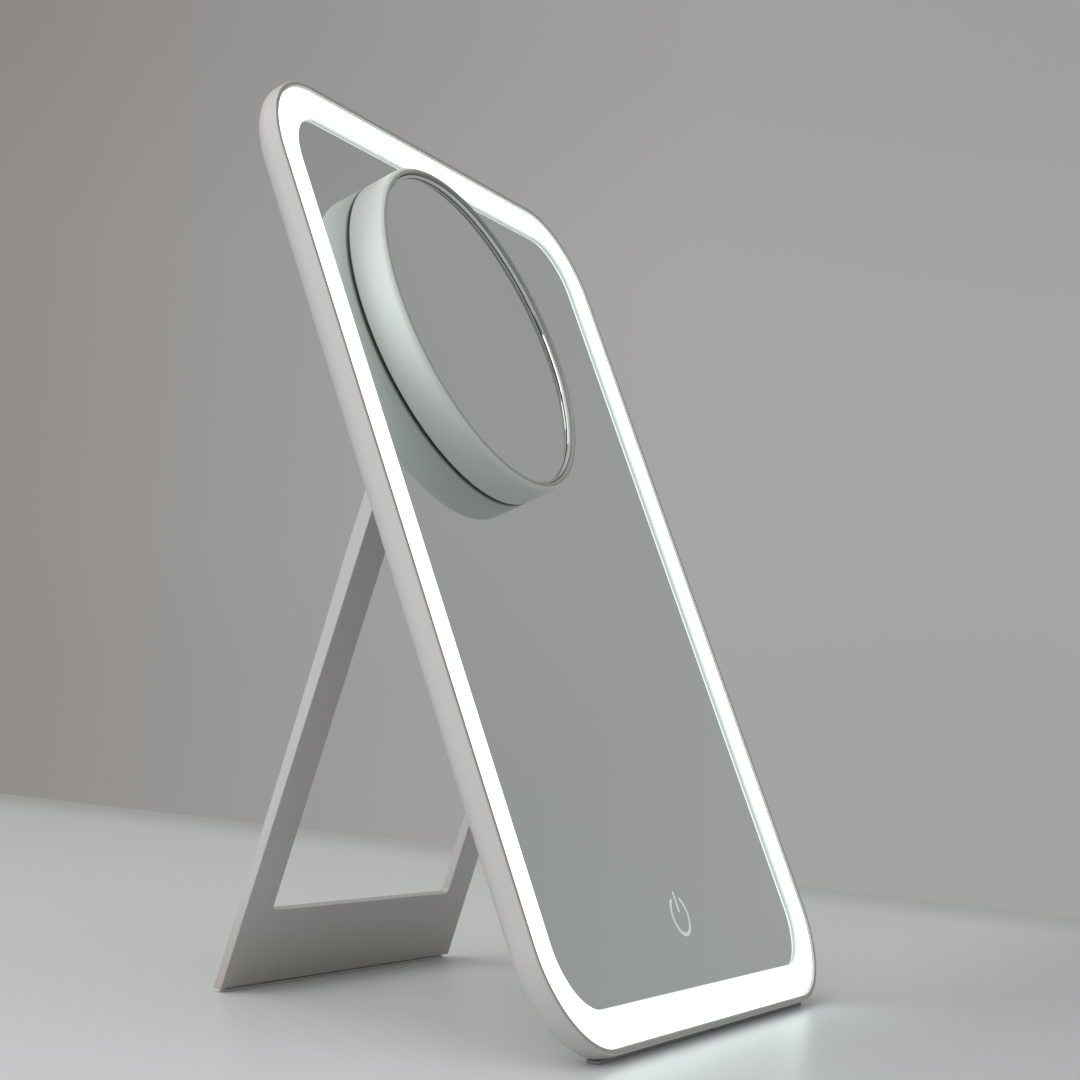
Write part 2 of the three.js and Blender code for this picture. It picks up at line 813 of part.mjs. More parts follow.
function tactSwitch(height) {
  const deep = buttonWidth / 2;
  const long = switchLength / 2;
  const body = block([switchBack, height - long, buttonLevel - deep],
    [switchFace, height + long, buttonLevel + deep]);
  return body.add(rodAlongX(actuatorRadius, switchFace - overlap, actuatorFace, height, buttonLevel));
}

// A button bar whose face follows the edge of the housing, with a flange behind the wall
function sideButton(height) {
  const bar = edgeSlot(height, buttonLength, buttonWidth, flangeFace - overlap, panelWidth / 2 + 1);
  const skin = outerBody().translate([buttonProud, 0, 0]);
  const flange = edgeSlot(height, buttonLength + flangeReach * 2, buttonWidth, flangeBack, flangeFace);
  const stem = rodAlongX(stemRadius, stemEnd, flangeBack + overlap, height, buttonLevel);
  return bar.intersect(skin).add(flange).add(stem);
}

// Magnifier, in a frame on its centre line with z = 0 on the glass of the panel

function magnifierCasing() {
  const inner = magnifierRadius - casingWall;
  const seatTop = magnifierRise - glassSink - glassThickness - gap * 2;
  const low = skirtRise;
  const round = [0, 1, 2].map((step) => {
    const angle = step / 2 * Math.PI / 2;
    return [
      magnifierRadius - casingRound * (1 - Math.cos(angle)),
      magnifierRise - casingRound * (1 - Math.sin(angle)),
    ];
  });
  return turned([
    [inner, low],
    [magnifierRadius, low],
    ...round,
    [inner, magnifierRise],
    [inner, seatTop],
    [inner - seatWidth, seatTop],
    [inner - seatWidth, seatTop - seatThickness],
    [inner, seatTop - seatThickness],
    [inner, low],
  ]);
}

// Dished glass: the front follows a sphere, its lowest place in the middle
function magnifierMirror() {
  const edge = magnifierRadius - casingWall - gap;
  const top = magnifierRise - glassSink;
  const dish = (radius) => top - (edge * edge - radius * radius) / (2 * glassCurve);
  const steps = 3;
  const front = [];
  for (let step = 0; step <= steps; step += 1) {
    const radius = edge * (1 - step / steps);
    front.push([radius, dish(radius)]);
  }
  const back = front.map(([radius, level]) => [radius, level - glassThickness]).reverse();
  return turned([...back, ...front]);
}

function magnifierTrim() {
  const outside = magnifierRadius - casingWall - gap;
  const low = magnifierRise - glassSink + gap;
  return turned([
    [outside - trimWidth, low],
    [outside, low],
    [outside, low + trimHeight],
    [outside - trimWidth, low + trimHeight / 2],
    [outside - trimWidth, low],
  ]);
}

const coverBack = padThickness + gap * 2;

function magnifierCover() {
  const edge = magnifierRadius - casingWall - gap;
  return turned([
    [0, coverBack],
    [edge, coverBack],
    [edge, coverBack + coverThickness],
    [0, coverBack + coverThickness],
  ]);
}

function magnifierPad() {
  const outside = magnifierRadius - casingWall - gap;
  return turned([
    [outside - padWidth, gap],
    [outside, gap],
    [outside, gap + padThickness],
    [outside - padWidth, gap + padThickness],
    [outside - padWidth, gap],
  ]);
}

function magnet(index) {
  const angle = (index + 0.5) / magnetCount * Math.PI * 2;
  const low = coverBack + coverThickness + gap;
  return post(magnetRadius, magnetCircle * Math.cos(angle), magnetCircle * Math.sin(angle),
    low, low + magnetThickness, discSteps);
}

// Assembly

const panel = new THREE.Group();
panel.add(
  piece('rear_shell', rearShell(), 'shell'),
  piece('light_frame', lightFrame(), 'reflector'),
  piece('light_diffuser', lightDiffuser(), 'diffuser'),
  piece('main_mirror', mainMirror(), 'mirror'),
  piece('steel_backplate', steelBackplate(), 'steel'),
  piece('touch_sensor', extruded(touchPlace(0), steelBack, steelFront, 4), 'board'),
  piece('main_board', mainBoard(), 'board'),
  piece('battery_left', cell(-1), 'cell'),
  piece('battery_right', cell(1), 'cell'),
  piece('inlet_board', inletBoard(), 'board'),
  piece('charge_inlet', chargeInlet(), 'steel'),
  piece('switch_board', switchBoard(), 'board'),
  piece('power_switch', tactSwitch(powerHeight), 'contact'),
  piece('brightness_switch', tactSwitch(brightnessHeight), 'contact'),
  piece('power_button', sideButton(powerHeight), 'shell'),
  piece('brightness_button', sideButton(brightnessHeight), 'shell'),
  piece('hinge_bracket_left', hingeBracket(-1), 'steel'),
  piece('hinge_bracket_right', hingeBracket(1), 'steel'),
);
strips.forEach(([side, length, x, y, angle]) => {
  const strip = piece(`led_strip_${side}`, lampStrip(length), 'diffuser');
  strip.position.set(x, y, stripLevel);
  strip.rotation.z = angle * degrees;
  panel.add(strip);
});
['left', 'right'].forEach((side, index) => {
  const foot = piece(`foot_pad_${side}`, floorBox(footLength, footWidth, -footRise, footSeat), 'rubber');
  foot.position.x = (index - 0.5) * footSpacing;
  panel.add(foot);
});
boardCorners.forEach(([x, y], index) => {
  panel.add(piece(`board_screw_${index + 1}`, screw(x, y, boardFront, boardScrewLength), 'steel'));
});
bracketScrews.forEach(([x, y], index) => {
  panel.add(piece(`bracket_screw_${index + 1}`, screw(x, y, baseFront, bracketScrewLength), 'steel'));
});

const hinge = new THREE.Group();
hinge.position.set(0, hingeHeight, hingeLevel);
hingeCentres.forEach((centre, index) => {
  const side = ['left', 'right'][index];
  hinge.add(piece(`hinge_pin_${side}`, hingePin(centre), 'steel'));
  [-1, 1].forEach((facing) => {
    const place = ['inner', 'outer'][facing * (index * 2 - 1) > 0 ? 1 : 0];
    const washer = piece(`washer_${side}_${place}`, frictionWasher(), 'steel');
    washer.position.x = centre + facing * (earWidth / 2 + gap + washerThickness / 2);
    hinge.add(washer);
  });
});

const stand = new THREE.Group();
stand.rotation.x = turn;
stand.add(
  piece('stand_frame', standFrame(), 'shell'),
  piece('stand_foot_strip', standFootStrip(), 'rubber'),
);
hinge.add(stand);
panel.add(hinge);

const magnifier = new THREE.Group();
magnifier.position.set(magnifierX, magnifierHeight, mirrorFront);
magnifier.add(
  piece('magnifier_casing', magnifierCasing(), 'shell'),
  piece('magnifier_mirror', magnifierMirror(), 'mirror'),
  piece('magnifier_trim', magnifierTrim(), 'chrome'),
  piece('magnifier_cover', magnifierCover(), 'shell'),
  piece('magnifier_pad', magnifierPad(), 'rubber'),
);
for (let index = 0; index < magnetCount; index += 1) {
  magnifier.add(piece(`magnet_${index + 1}`, magnet(index), 'steel'));
}
panel.add(magnifier);

panel.rotation.x = Math.PI / 2 - tilt;
panel.position.z = -floorLevel(tilt);

const group = new THREE.Group();
group.add(panel);
group.updateMatrixWorld(true);
const box = new THREE.Box3().setFromObject(group, true);
panel.position.y -= (box.min.y + box.max.y) / 2;

export default group;
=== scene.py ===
import math

import bmesh
import bpy
from mathutils import Matrix, Vector


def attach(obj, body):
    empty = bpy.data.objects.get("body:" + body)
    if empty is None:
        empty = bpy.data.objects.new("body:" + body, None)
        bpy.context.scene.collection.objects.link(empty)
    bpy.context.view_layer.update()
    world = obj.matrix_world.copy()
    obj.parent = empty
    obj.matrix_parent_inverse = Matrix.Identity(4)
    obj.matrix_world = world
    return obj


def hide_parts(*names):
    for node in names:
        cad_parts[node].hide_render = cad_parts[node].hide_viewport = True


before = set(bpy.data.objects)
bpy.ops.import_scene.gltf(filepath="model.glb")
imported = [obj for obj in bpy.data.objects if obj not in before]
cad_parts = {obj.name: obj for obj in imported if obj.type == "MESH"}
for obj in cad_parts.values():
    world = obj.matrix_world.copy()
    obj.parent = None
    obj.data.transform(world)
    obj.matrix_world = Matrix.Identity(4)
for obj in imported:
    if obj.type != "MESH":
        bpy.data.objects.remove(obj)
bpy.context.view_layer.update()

# Camera
# A long lens, low and to the left of the mirror, that looks up at it a little. Its sensor is
# shifted down so that upright lines stay upright.

camera_place = (-0.66025, -0.3185, 0.1050)
camera_right = Vector((0.4354, -0.8964, 0.0836)).normalized()
camera_back = Vector((-0.8884, -0.4429, -0.1211)).normalized()
camera_up = camera_back.cross(camera_right)

camera = bpy.data.objects.new("camera", bpy.data.cameras.new("camera"))
camera.data.sensor_width = 36.0
camera.data.lens = 68.44
camera.data.shift_y = -0.0865
camera.data.clip_start = 0.01
camera.matrix_world = Matrix.Translation(camera_place) @ Matrix(
    (camera_right, camera_up, camera_back)).transposed().to_4x4()
bpy.context.scene.collection.objects.link(camera)
bpy.context.scene.camera = camera
bpy.context.scene.view_settings.view_transform = "Standard"

# Table and light
# A pale satin table that ends in a straight edge to the right of the mirror, in a grey room that is
# a little lighter overhead and in front, with a large soft lamp to the left and one above. Each
# lamp has its direction from the mirror, its distance, its width and its watts. All but the peel
# of the table's skin is in metres.

table_edge = ((0.5753, 0.6737), (0.6301, -0.0334))
table_reach = 5.0
table_pale, table_shaded_grey = "#e4e9eb", "#c8cccd"
edge_shade_width = 0.15
peel_width, peel_depth = 1.5, 0.02
front_shade_start, front_shade_end, front_shade_share = -0.02, -0.14, 0.25
sideways = (0.4369, -0.8995, 0.0)
overhead_start, overhead_full, overhead_gain = 0.62, 0.9, 1.9
in_front_start, in_front_full, in_front_gain = -0.35, -0.8, 1.4
lamps = {
    "side_lamp": ((-0.85, 0.2, 0.45), 1.6, 1.4, 10.0),
    "top_lamp": ((-0.3, 0.3, 0.9), 1.4, 1.2, 4.2),
}


def linear(code):
    values = [int(code[at:at + 2], 16) / 255 for at in (1, 3, 5)]
    return [v / 12.92 if v <= 0.04045 else ((v + 0.055) / 1.055) ** 2.4 for v in values] + [1.0]


def add_node(tree, kind, values=None, links=None, **settings):
    node = tree.nodes.new(kind)
    for name, value in settings.items():
        setattr(node, name, value)
    for name, value in (values or {}).items():
        node.inputs[name].default_value = value
    for name, source in (links or {}).items():
        tree.links.new(source, node.inputs[name])
    return node


def new_finish(name, colour, roughness, metallic=0.0):
    finish = bpy.data.materials.new(name)
    finish.use_nodes = True
    tree = finish.node_tree
    shader = tree.nodes["Principled BSDF"]
    shader.inputs["Base Color"].default_value = linear(colour)
    shader.inputs["Roughness"].default_value = roughness
    shader.inputs["Metallic"].default_value = metallic
    finish.diffuse_color = linear(colour)
    place = add_node(tree, "ShaderNodeTexCoord").outputs["Object"]
    return finish, tree, shader, place


def set_stops(ramp, stops):
    while len(ramp.color_ramp.elements) < len(stops):
        ramp.color_ramp.elements.new(1.0)
    for element, (place, colour) in zip(ramp.color_ramp.elements, stops):
        element.position = place
        element.color = colour


edge_start, edge_end = (Vector((x, y, 0.0)) for x, y in table_edge)
along = (edge_end - edge_start).normalized()
inward = Vector((along.y, -along.x, 0.0))
edge_distance = inward.dot(edge_start)

# A laminate pressed to a satin: an even pale tone that shows the lit band below the mirror as one
# soft wedge. Its colour is painted greyer over the last 150 mm to its far edge and in front of the
# mirror, away from the lamp: painted shade. The peel of its skin is 1.5 mm across.
table_finish, tree, shader, place = new_finish("satin_laminate_table", table_pale, 0.34)
inside = add_node(tree, "ShaderNodeVectorMath", operation="DOT_PRODUCT",
                  values={1: inward}, links={0: place}).outputs["Value"]
fade = add_node(tree, "ShaderNodeMapRange", interpolation_type="SMOOTHSTEP",
                values={"From Min": edge_distance, "From Max": edge_distance + edge_shade_width},
                links={"Value": inside}).outputs["Result"]
to_back = add_node(tree, "ShaderNodeSeparateXYZ", links={"Vector": place}).outputs["Y"]
front_shade = add_node(tree, "ShaderNodeMapRange", interpolation_type="SMOOTHSTEP",
                      values={"From Min": front_shade_end, "From Max": front_shade_start,
                              "To Min": front_shade_share, "To Max": 1.0},
                      links={"Value": to_back}).outputs["Result"]
both_shades = add_node(tree, "ShaderNodeMath", operation="MULTIPLY",
                      links={0: fade, 1: front_shade}).outputs["Value"]
pale = add_node(tree, "ShaderNodeMix", data_type="RGBA",
                values={6: linear(table_shaded_grey), 7: linear(table_pale)}, links={0: both_shades}).outputs[2]
tree.links.new(pale, shader.inputs["Base Color"])
peel = add_node(tree, "ShaderNodeTexNoise", values={"Scale": 1000 / peel_width, "Detail": 2.0},
                links={"Vector": place}).outputs["Fac"]
bump = add_node(tree, "ShaderNodeBump", values={"Strength": 0.1, "Distance": peel_depth / 1000},
                links={"Height": peel}).outputs["Normal"]
tree.links.new(bump, shader.inputs["Normal"])

table_corners = [edge_start - along * table_reach, edge_end + along * table_reach,
                 Vector((-table_reach, -table_reach, 0)), Vector((-table_reach, table_reach, 0))]
table_mesh = bpy.data.meshes.new("table")
table_mesh.from_pydata(table_corners, [], [(3, 2, 1, 0)])
table = bpy.data.objects.new("table", table_mesh)
table_mesh.materials.append(table_finish)
bpy.context.scene.collection.objects.link(table)

room = bpy.data.worlds.new("room")
bpy.context.scene.world = room
room.use_nodes = True
tree = room.node_tree
direction = add_node(tree, "ShaderNodeTexCoord").outputs["Generated"]
across = add_node(tree, "ShaderNodeVectorMath", operation="DOT_PRODUCT",
                  values={1: sideways}, links={0: direction}).outputs["Value"]
spread = add_node(tree, "ShaderNodeMapRange", values={"From Min": -1.0, "From Max": 1.0},
                  links={"Value": across}).outputs["Result"]
wall_tone = add_node(tree, "ShaderNodeValToRGB", links={"Fac": spread})
set_stops(wall_tone, [
    (0.36, linear("#918d88")), (0.42, linear("#9a9896")), (0.48, linear("#a3a19f")),
    (0.53, linear("#a6a6a4")), (0.62, linear("#a5a5a4")), (0.75, linear("#b0b0b0")),
    (0.80, linear("#b2b2b2")), (0.86, linear("#abacab")),
])
parts = add_node(tree, "ShaderNodeSeparateXYZ", links={"Vector": direction})
height_tone = add_node(tree, "ShaderNodeValToRGB", links={"Fac": parts.outputs["Z"]})
set_stops(height_tone, [(place, (tone, tone, tone, 1.0)) for place, tone in (
    (0.0, 0.97), (0.06, 1.0), (0.2, 1.0), (0.3, 0.93), (0.5, 0.9), (0.58, 0.82))])
overhead = add_node(tree, "ShaderNodeMapRange", interpolation_type="SMOOTHSTEP",
                    values={"From Min": overhead_start, "From Max": overhead_full,
                            "To Min": 1.0, "To Max": overhead_gain},
                    links={"Value": parts.outputs["Z"]}).outputs["Result"]
in_front = add_node(tree, "ShaderNodeMapRange", interpolation_type="SMOOTHSTEP",
                    values={"From Min": in_front_full, "From Max": in_front_start,
                            "To Min": in_front_gain, "To Max": 1.0},
                    links={"Value": parts.outputs["Y"]}).outputs["Result"]
shade = add_node(tree, "ShaderNodeMath", operation="MULTIPLY",
                 links={0: overhead, 1: in_front}).outputs["Value"]
strength = add_node(tree, "ShaderNodeMath", operation="MULTIPLY",
                    links={0: shade, 1: height_tone.outputs["Color"]}).outputs["Value"]
tree.links.new(wall_tone.outputs["Color"], tree.nodes["Background"].inputs["Color"])
tree.links.new(strength, tree.nodes["Background"].inputs["Strength"])

for name, (towards, distance, width, watts) in lamps.items():
    lamp_direction = Vector(towards).normalized()
    lamp = bpy.data.objects.new(name, bpy.data.lights.new(name, "AREA"))
    lamp.data.shape = "DISK"
    lamp.data.size = width
    lamp.data.energy = watts
    lamp.location = lamp_direction * distance
    lamp.rotation_euler = lamp_direction.to_track_quat("Z", "Y").to_euler()
    bpy.context.scene.collection.objects.link(lamp)

# Rear housing
# One moulding in pale satin ABS: a thin rim round the light, side walls that roll into a flat
# back, and a frame-shaped well that takes the folded stand. Sizes are in millimetres, drawn flat
# with x to the right, y up the panel and z out of its front, from the face of the light.

panel_width, panel_height, corner_radius = 240.0, 336.0, 35.3
panel_sides = (-panel_width / 2, 0.0, panel_width / 2, panel_height)
panel_tilt = math.radians(25.21732)
panel_foot = (0.0, -0.07449, 0.00246)
rim_width, rim_rise, rim_round = 1.8, 0.9, 0.6
rim_inner_round, rim_inner_bend = 0.3, 0.1
edge_width, edge_depth, skin = 14.0, 8.0, 1.4
mirror_front = -1.3
edge_level, back_face, back_inside = -3.3, -11.3, -9.9
well_front, well_floor = -4.75, -5.95
well_sides = (-79.8, 15.11, 79.8, 221.99)
island_sides = (-61.2, 44.8, 61.2, 187.9)
well_corner, island_corner, well_skin, well_lip = 4.0, 2.0, 1.2, 0.5
notch_centre, notch_radius, notch_bend = (0.0, 43.8), 12.0, 0.15
hinge_places, hinge_height = (-48.0, 48.0), 215.9
ear_slot_half, ear_slot_top, ear_slot_front = 3.3, 223.49, -6.2
rib_places, rib_width, rib_rise = (-30.1, 0.0, 30.1), 1.2, 2.0
board_corners = [(x, y) for x in (-33.1, 33.1) for y in (247.89, 284.09)]
bracket_screws = [(hinge + side, 229.74) for hinge in hinge_places for side in (-6.5, 6.5)]
gap, screw_radius, boss_radius, bore_floor = 0.3, 1.0, 2.6, 0.6
board_boss_front, bracket_boss_front = -9.0, -8.3
button_level = -7.65
button_heights = {"power": 236.0, "brightness": 212.0}
button_slot_length, button_slot_width, slot_back = 13.6, 3.2, 110.0
guide_back, guide_end, guide_length, guide_front = 111.0, 120.0, 19.0, -5.7
inlet_height, inlet_mouth, inlet_back = 46.0, 114.6, 107.3
inlet_slot_length, inlet_slot_width = 9.6, 3.8
post_back, post_end, post_width, post_spacing, post_front = 101.3, 104.3, 3.0, 16.0, -8.45
foot_places, foot_length, foot_width = (-46.5, 46.5), 91.0, 4.0
pocket_drop, pocket_depth = 1.6, 0.8
# What is added runs this far into the wall that it joins, a cutter runs this far past what it
# cuts, and past_edge lies outside the right-hand edge.
join_overlap, cut_past, past_edge = 0.2, 1.0, 121.0

in_panel = (Matrix.Translation(panel_foot)
            @ Matrix.Rotation(math.pi / 2 - panel_tilt, 4, "X") @ Matrix.Scale(0.001, 4))


def new_body(name, points, faces):
    mesh = bpy.data.meshes.new(name)
    mesh.from_pydata(points, [], faces)
    shape = bmesh.new()
    shape.from_mesh(mesh)
    bmesh.ops.recalc_face_normals(shape, faces=shape.faces)
    shape.to_mesh(mesh)
    shape.free()
    body = bpy.data.objects.new(name, mesh)
    bpy.context.scene.collection.objects.link(body)
    return body


def rounded_outline(sides, radius, steps=24):
    left, bottom, right, top = sides
    corners = [(right - radius, bottom + radius), (right - radius, top - radius),
               (left + radius, top - radius), (left + radius, bottom + radius)]
    outline = []
    for quarter, (x, y) in enumerate(corners):
        for step in range(steps + 1):
            angle = (quarter - 1 + step / steps) * math.pi / 2
            outline.append((x + radius * math.cos(angle), y + radius * math.sin(angle)))
    return outline


def stacked(name, rings, closed=False):
    count = len(rings[0])
    points = [point for ring in rings for point in ring]
    bands = len(rings) if closed else len(rings) - 1
    faces = []
    for band in range(bands):
        low, high = band * count, (band + 1) % len(rings) * count
        faces += [(low + at, low + (at + 1) % count, high + (at + 1) % count, high + at)
                  for at in range(count)]
    if not closed:
        faces += [tuple(range(count)), tuple(range(len(points) - count, len(points)))]
    return new_body(name, points, faces)


def carried_round(name, sides, radius, profile, closed=False, steps=24):
    rings = []
    for inset, level in profile:
        left, bottom, right, top = sides
        inner = (left + inset, bottom + inset, right - inset, top - inset)
        outline = rounded_outline(inner, max(radius - inset, 0.05), steps)
        rings.append([(x, y, level) for x, y in outline])
    return stacked(name, rings, closed)


def drawn_out(name, outline, low, high, axis="z"):
    if axis == "z":
        rings = [[(u, v, level) for u, v in outline] for level in (low, high)]
    else:
        rings = [[(level, u, v) for u, v in outline] for level in (low, high)]
    return stacked(name, rings)


def box_between(name, low, high):
    outline = [(low[0], low[1]), (high[0], low[1]), (high[0], high[1]), (low[0], high[1])]
    return drawn_out(name, outline, low[2], high[2])


def turned(name, profile, centre=(0.0, 0.0), steps=160, closed=False):
    rings = []
    for radius, level in profile:
        angles = [step / steps * math.tau for step in range(steps)]
        rings.append([(centre[0] + radius * math.cos(a), centre[1] + radius * math.sin(a), level)
                      for a in angles])
    return stacked(name, rings, closed)


def carve(body, tools, operation="DIFFERENCE"):
    for tool in tools:
        cut = body.modifiers.new("cut", "BOOLEAN")
        cut.solver = "MANIFOLD"
        cut.operation = operation
        cut.object = tool
    graph = bpy.context.evaluated_depsgraph_get()
    shape = bpy.data.meshes.new_from_object(body.evaluated_get(graph))
    body.modifiers.clear()
    body.data = shape
    for tool in tools:
        bpy.data.objects.remove(tool)
    return body


smooth_below, rounded_above = math.radians(32), math.radians(40)


def fit(body, place, carrier, finish, nodes=(), edge=0.0, segments=2):
    body.data.transform(place)
    body.data.materials.clear()
    body.data.materials.append(finish)
    body.data.shade_smooth()
    body.data.set_sharp_from_angle(angle=smooth_below)
    if edge:
        rounding = body.modifiers.new("rounding", "BEVEL")
        rounding.width = edge / 1000
        rounding.segments = segments
        rounding.limit_method = "ANGLE"
        rounding.angle_limit = rounded_above
        rounding.harden_normals = True
    shading = body.modifiers.new("shading", "WEIGHTED_NORMAL")
    shading.keep_sharp = True
    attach(body, carrier)
    if nodes:
        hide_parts(*nodes)
    return body


def back_edge(wall, thickness, steps):
    points = []
    for step in range(steps + 1):
        angle = (1 - step / steps) * math.pi / 2
        points.append((wall + (edge_width - wall) * (1 - math.cos(angle)),
                       edge_level - (edge_depth - thickness) * math.sin(angle)))
    return points


def quarter_round(inset, level, radius, steps=5):
    turns = [step / steps * math.pi / 2 for step in range(steps + 1)]
    return [(inset + radius * (1 - math.cos(a)), level - radius * (1 - math.sin(a))) for a in turns]


def edge_bar(name, height, length, width, left, right):
    """A bar with round ends, across the panel's edge at the level of the buttons.

    The ends' radius is a little under half the width, so that no two of their points meet.
    """
    half = width / 2
    nearly_half = half * 0.98
    sides = (height - length / 2, button_level - half, height + length / 2, button_level + half)
    return drawn_out(name, rounded_outline(sides, nearly_half, 8), left, right, "x")


def outer_skin(name):
    return carried_round(name, panel_sides, corner_radius,
                         back_edge(0, 0, 20) + quarter_round(0, rim_rise, rim_round))


def well_tool(name, growth, low, high, lip=0.0):
    """The folded stand's outline as a solid, flared by a lip at its lower end."""
    profile = [(-lip, low)]
    if lip:
        turns = [step / 4 * math.pi / 2 for step in range(5)]
        profile += [(-lip * (1 - math.sin(a)), low + cut_past + lip * (1 - math.cos(a)))
                    for a in turns]
    profile.append((0.0, high))
    mirrored = [(-inset, level) for inset, level in profile]
    outwards = (-growth, -growth, growth, growth)
    outer_sides = [side + shift for side, shift in zip(well_sides, outwards)]
    inner_sides = [side - shift for side, shift in zip(island_sides, outwards)]
    outside = carried_round(name, outer_sides, well_corner, profile, steps=6)
    inside = carried_round("island", inner_sides, island_corner, mirrored, steps=6)
    return carve(outside, [inside])


shell = outer_skin("rear_housing")
hollow = carried_round("hollow", panel_sides, corner_radius, back_edge(rim_width, skin, 12) + [
    (rim_width, rim_rise - rim_inner_round), (rim_width - rim_inner_bend, rim_rise - rim_inner_bend),
    (rim_width - rim_inner_round, rim_rise), (rim_width - rim_inner_round, rim_rise + cut_past)])
carve(shell, [hollow])
added = [well_tool("well_walls", well_skin, back_face + join_overlap, well_front)]
added.append(turned("notch_walls", [(notch_radius + well_skin, back_face + join_overlap),
                                    (notch_radius + well_skin, well_front)], notch_centre, 48))
root = back_inside - join_overlap
for rib in rib_places:
    added.append(box_between("rib", (rib - rib_width / 2, island_sides[1], root),
                             (rib + rib_width / 2, island_sides[3], back_inside + rib_rise)))
for places, boss_front in ((board_corners, board_boss_front), (bracket_screws, bracket_boss_front)):
    for x, y in places:
        added.append(turned("boss", [(boss_radius, root), (boss_radius, boss_front)], (x, y), 24))
for height in button_heights.values():
    guide = box_between("guide", (guide_back, height - guide_length / 2, root),
                        (guide_end, height + guide_length / 2, guide_front))
    added.append(carve(guide, [outer_skin("limit")], "INTERSECT"))
for side in (-1, 1):
    middle = inlet_height + side * post_spacing / 2
    added.append(box_between("inlet_post", (post_back, middle - post_width / 2, root),
                             (post_end, middle + post_width / 2, post_front)))
carve(shell, added, "UNION")
cuts = [
    well_tool("well", 0.0, back_face - cut_past, well_floor, well_lip),
    turned("notch", [
        (notch_radius + well_lip, back_face - cut_past), (notch_radius + well_lip, back_face),
        (notch_radius + notch_bend, back_face + notch_bend),
        (notch_radius, back_face + well_lip), (notch_radius, well_floor)], notch_centre, 64),
]
for middle in hinge_places:
    cuts.append(box_between("ear_slot", (middle - ear_slot_half, hinge_height, back_inside),
                            (middle + ear_slot_half, ear_slot_top, ear_slot_front)))
bore_radius = screw_radius + gap
for x, y in board_corners + bracket_screws:
    cuts.append(turned("bore", [(bore_radius, back_face + bore_floor), (bore_radius, well_front)],
                       (x, y), 20))
for height in button_heights.values():
    cuts.append(edge_bar("button_slot", height, button_slot_length, button_slot_width,
                         slot_back, past_edge))
cuts.append(edge_bar("inlet_slot", inlet_height, inlet_slot_length, inlet_slot_width,
                     inlet_back, past_edge))


def floor_box(name, length, width, low, high):
    """A box that is level with the table under the lowest line of the tilted panel's edge."""
    reach = math.hypot(edge_width * math.cos(panel_tilt), edge_depth * math.sin(panel_tilt))
    lowest = (0.0, edge_width - edge_width ** 2 * math.cos(panel_tilt) / reach,
              edge_level - edge_depth ** 2 * math.sin(panel_tilt) / reach)
    body = box_between(name, (-length / 2, -width / 2, low), (length / 2, width / 2, high))
    body.data.transform(Matrix.Translation(lowest)
                        @ Matrix.Rotation(panel_tilt - math.pi / 2, 4, "X"))
    return body


for x in foot_places:
    pocket = floor_box("foot_pocket", foot_length + 2 * gap, foot_width + 2 * gap,
                       -pocket_drop, pocket_depth)
    pocket.data.transform(Matrix.Translation((x, 0, 0)))
    cuts.append(pocket)
carve(shell, cuts)

# A plastic or rubber part takes the grain of its mould: a fine bump, a roughness that varies
# with it, and a slow drift in tone over 60 mm. Grain, depth and drift are in millimetres.
def grained(name, colour, roughness, grain, depth, drift=60, tone_spread=0.03, shine_spread=0.04):
    finish, tree, shader, place = new_finish(name, colour, roughness)
    fine = add_node(tree, "ShaderNodeTexNoise", values={"Scale": 1000 / grain, "Detail": 3.0},
                    links={"Vector": place}).outputs["Fac"]
    slow = add_node(tree, "ShaderNodeTexNoise", values={"Scale": 1000 / drift, "Detail": 2.0},
                    links={"Vector": place}).outputs["Fac"]
    bump = add_node(tree, "ShaderNodeBump", values={"Strength": 0.35, "Distance": depth / 1000},
                    links={"Height": fine}).outputs["Normal"]
    tone = add_node(tree, "ShaderNodeMapRange",
                    values={"To Min": 1 - tone_spread, "To Max": 1 + tone_spread},
                    links={"Value": slow}).outputs["Result"]
    tint = add_node(tree, "ShaderNodeMix", data_type="RGBA", blend_type="MULTIPLY",
                    values={0: 1.0, 6: linear(colour)}, links={7: tone}).outputs[2]
    shine = add_node(tree, "ShaderNodeMapRange",
                     values={"To Min": roughness - shine_spread, "To Max": roughness + shine_spread},
                     links={"Value": fine}).outputs["Result"]
    tree.links.new(tint, shader.inputs["Base Color"])
    tree.links.new(shine, shader.inputs["Roughness"])
    tree.links.new(bump, shader.inputs["Normal"])
    shader.inputs["IOR"].default_value = 1.53
    return finish


# ABS from a finely sparked mould: a warm pale grey with a satin sheen and no hard reflection.
# Its grain is 0.15 mm, drawn twice as coarse so that it shows close up.
housing_grey = "#cac8c6"
sparked = {"roughness": 0.46, "grain": 0.3, "depth": 0.018}
satin_abs = grained("moulded_satin_abs", housing_grey, **sparked)
fit(shell, in_panel, "panel", satin_abs, ["rear_shell"])

# A thin coat of grey paint on the rim's face and inner wall, darker than the housing: painted shade
# for the faces turned from the lamps, which gives a fine dark outline round the band. Its brushed
# skin is drawn 0.6 mm across.
rim_shade_paint = grained("brushed_rim_shade_paint", "#a6a6a4", 0.5, 0.6, 0.01)
shaded_top_depth, shaded_wall_reach = 0.15, 0.1
shell.data.materials.append(rim_shade_paint)
to_panel = in_panel.inverted()
for polygon in shell.data.polygons:
    x, y, level = to_panel @ polygon.center
    beyond = [max(abs(at) - half, 0.0) for at, half in (
        (x, panel_width / 2 - corner_radius), (y - panel_height / 2, panel_height / 2 - corner_radius))]
    inset = corner_radius - math.hypot(*beyond)
    shaded_top = level > rim_rise - shaded_top_depth
    shaded_inner_wall = level > edge_level and abs(inset - rim_width) < shaded_wall_reach
    if shaded_top or shaded_inner_wall:
        polygon.material_index = 1

# Light
# An opal acrylic ring that glows all round the mirror. Its inner lip drops steeply to the glass,
# laps over the edge of it and holds it, and is dimmer than the face over the lamps.

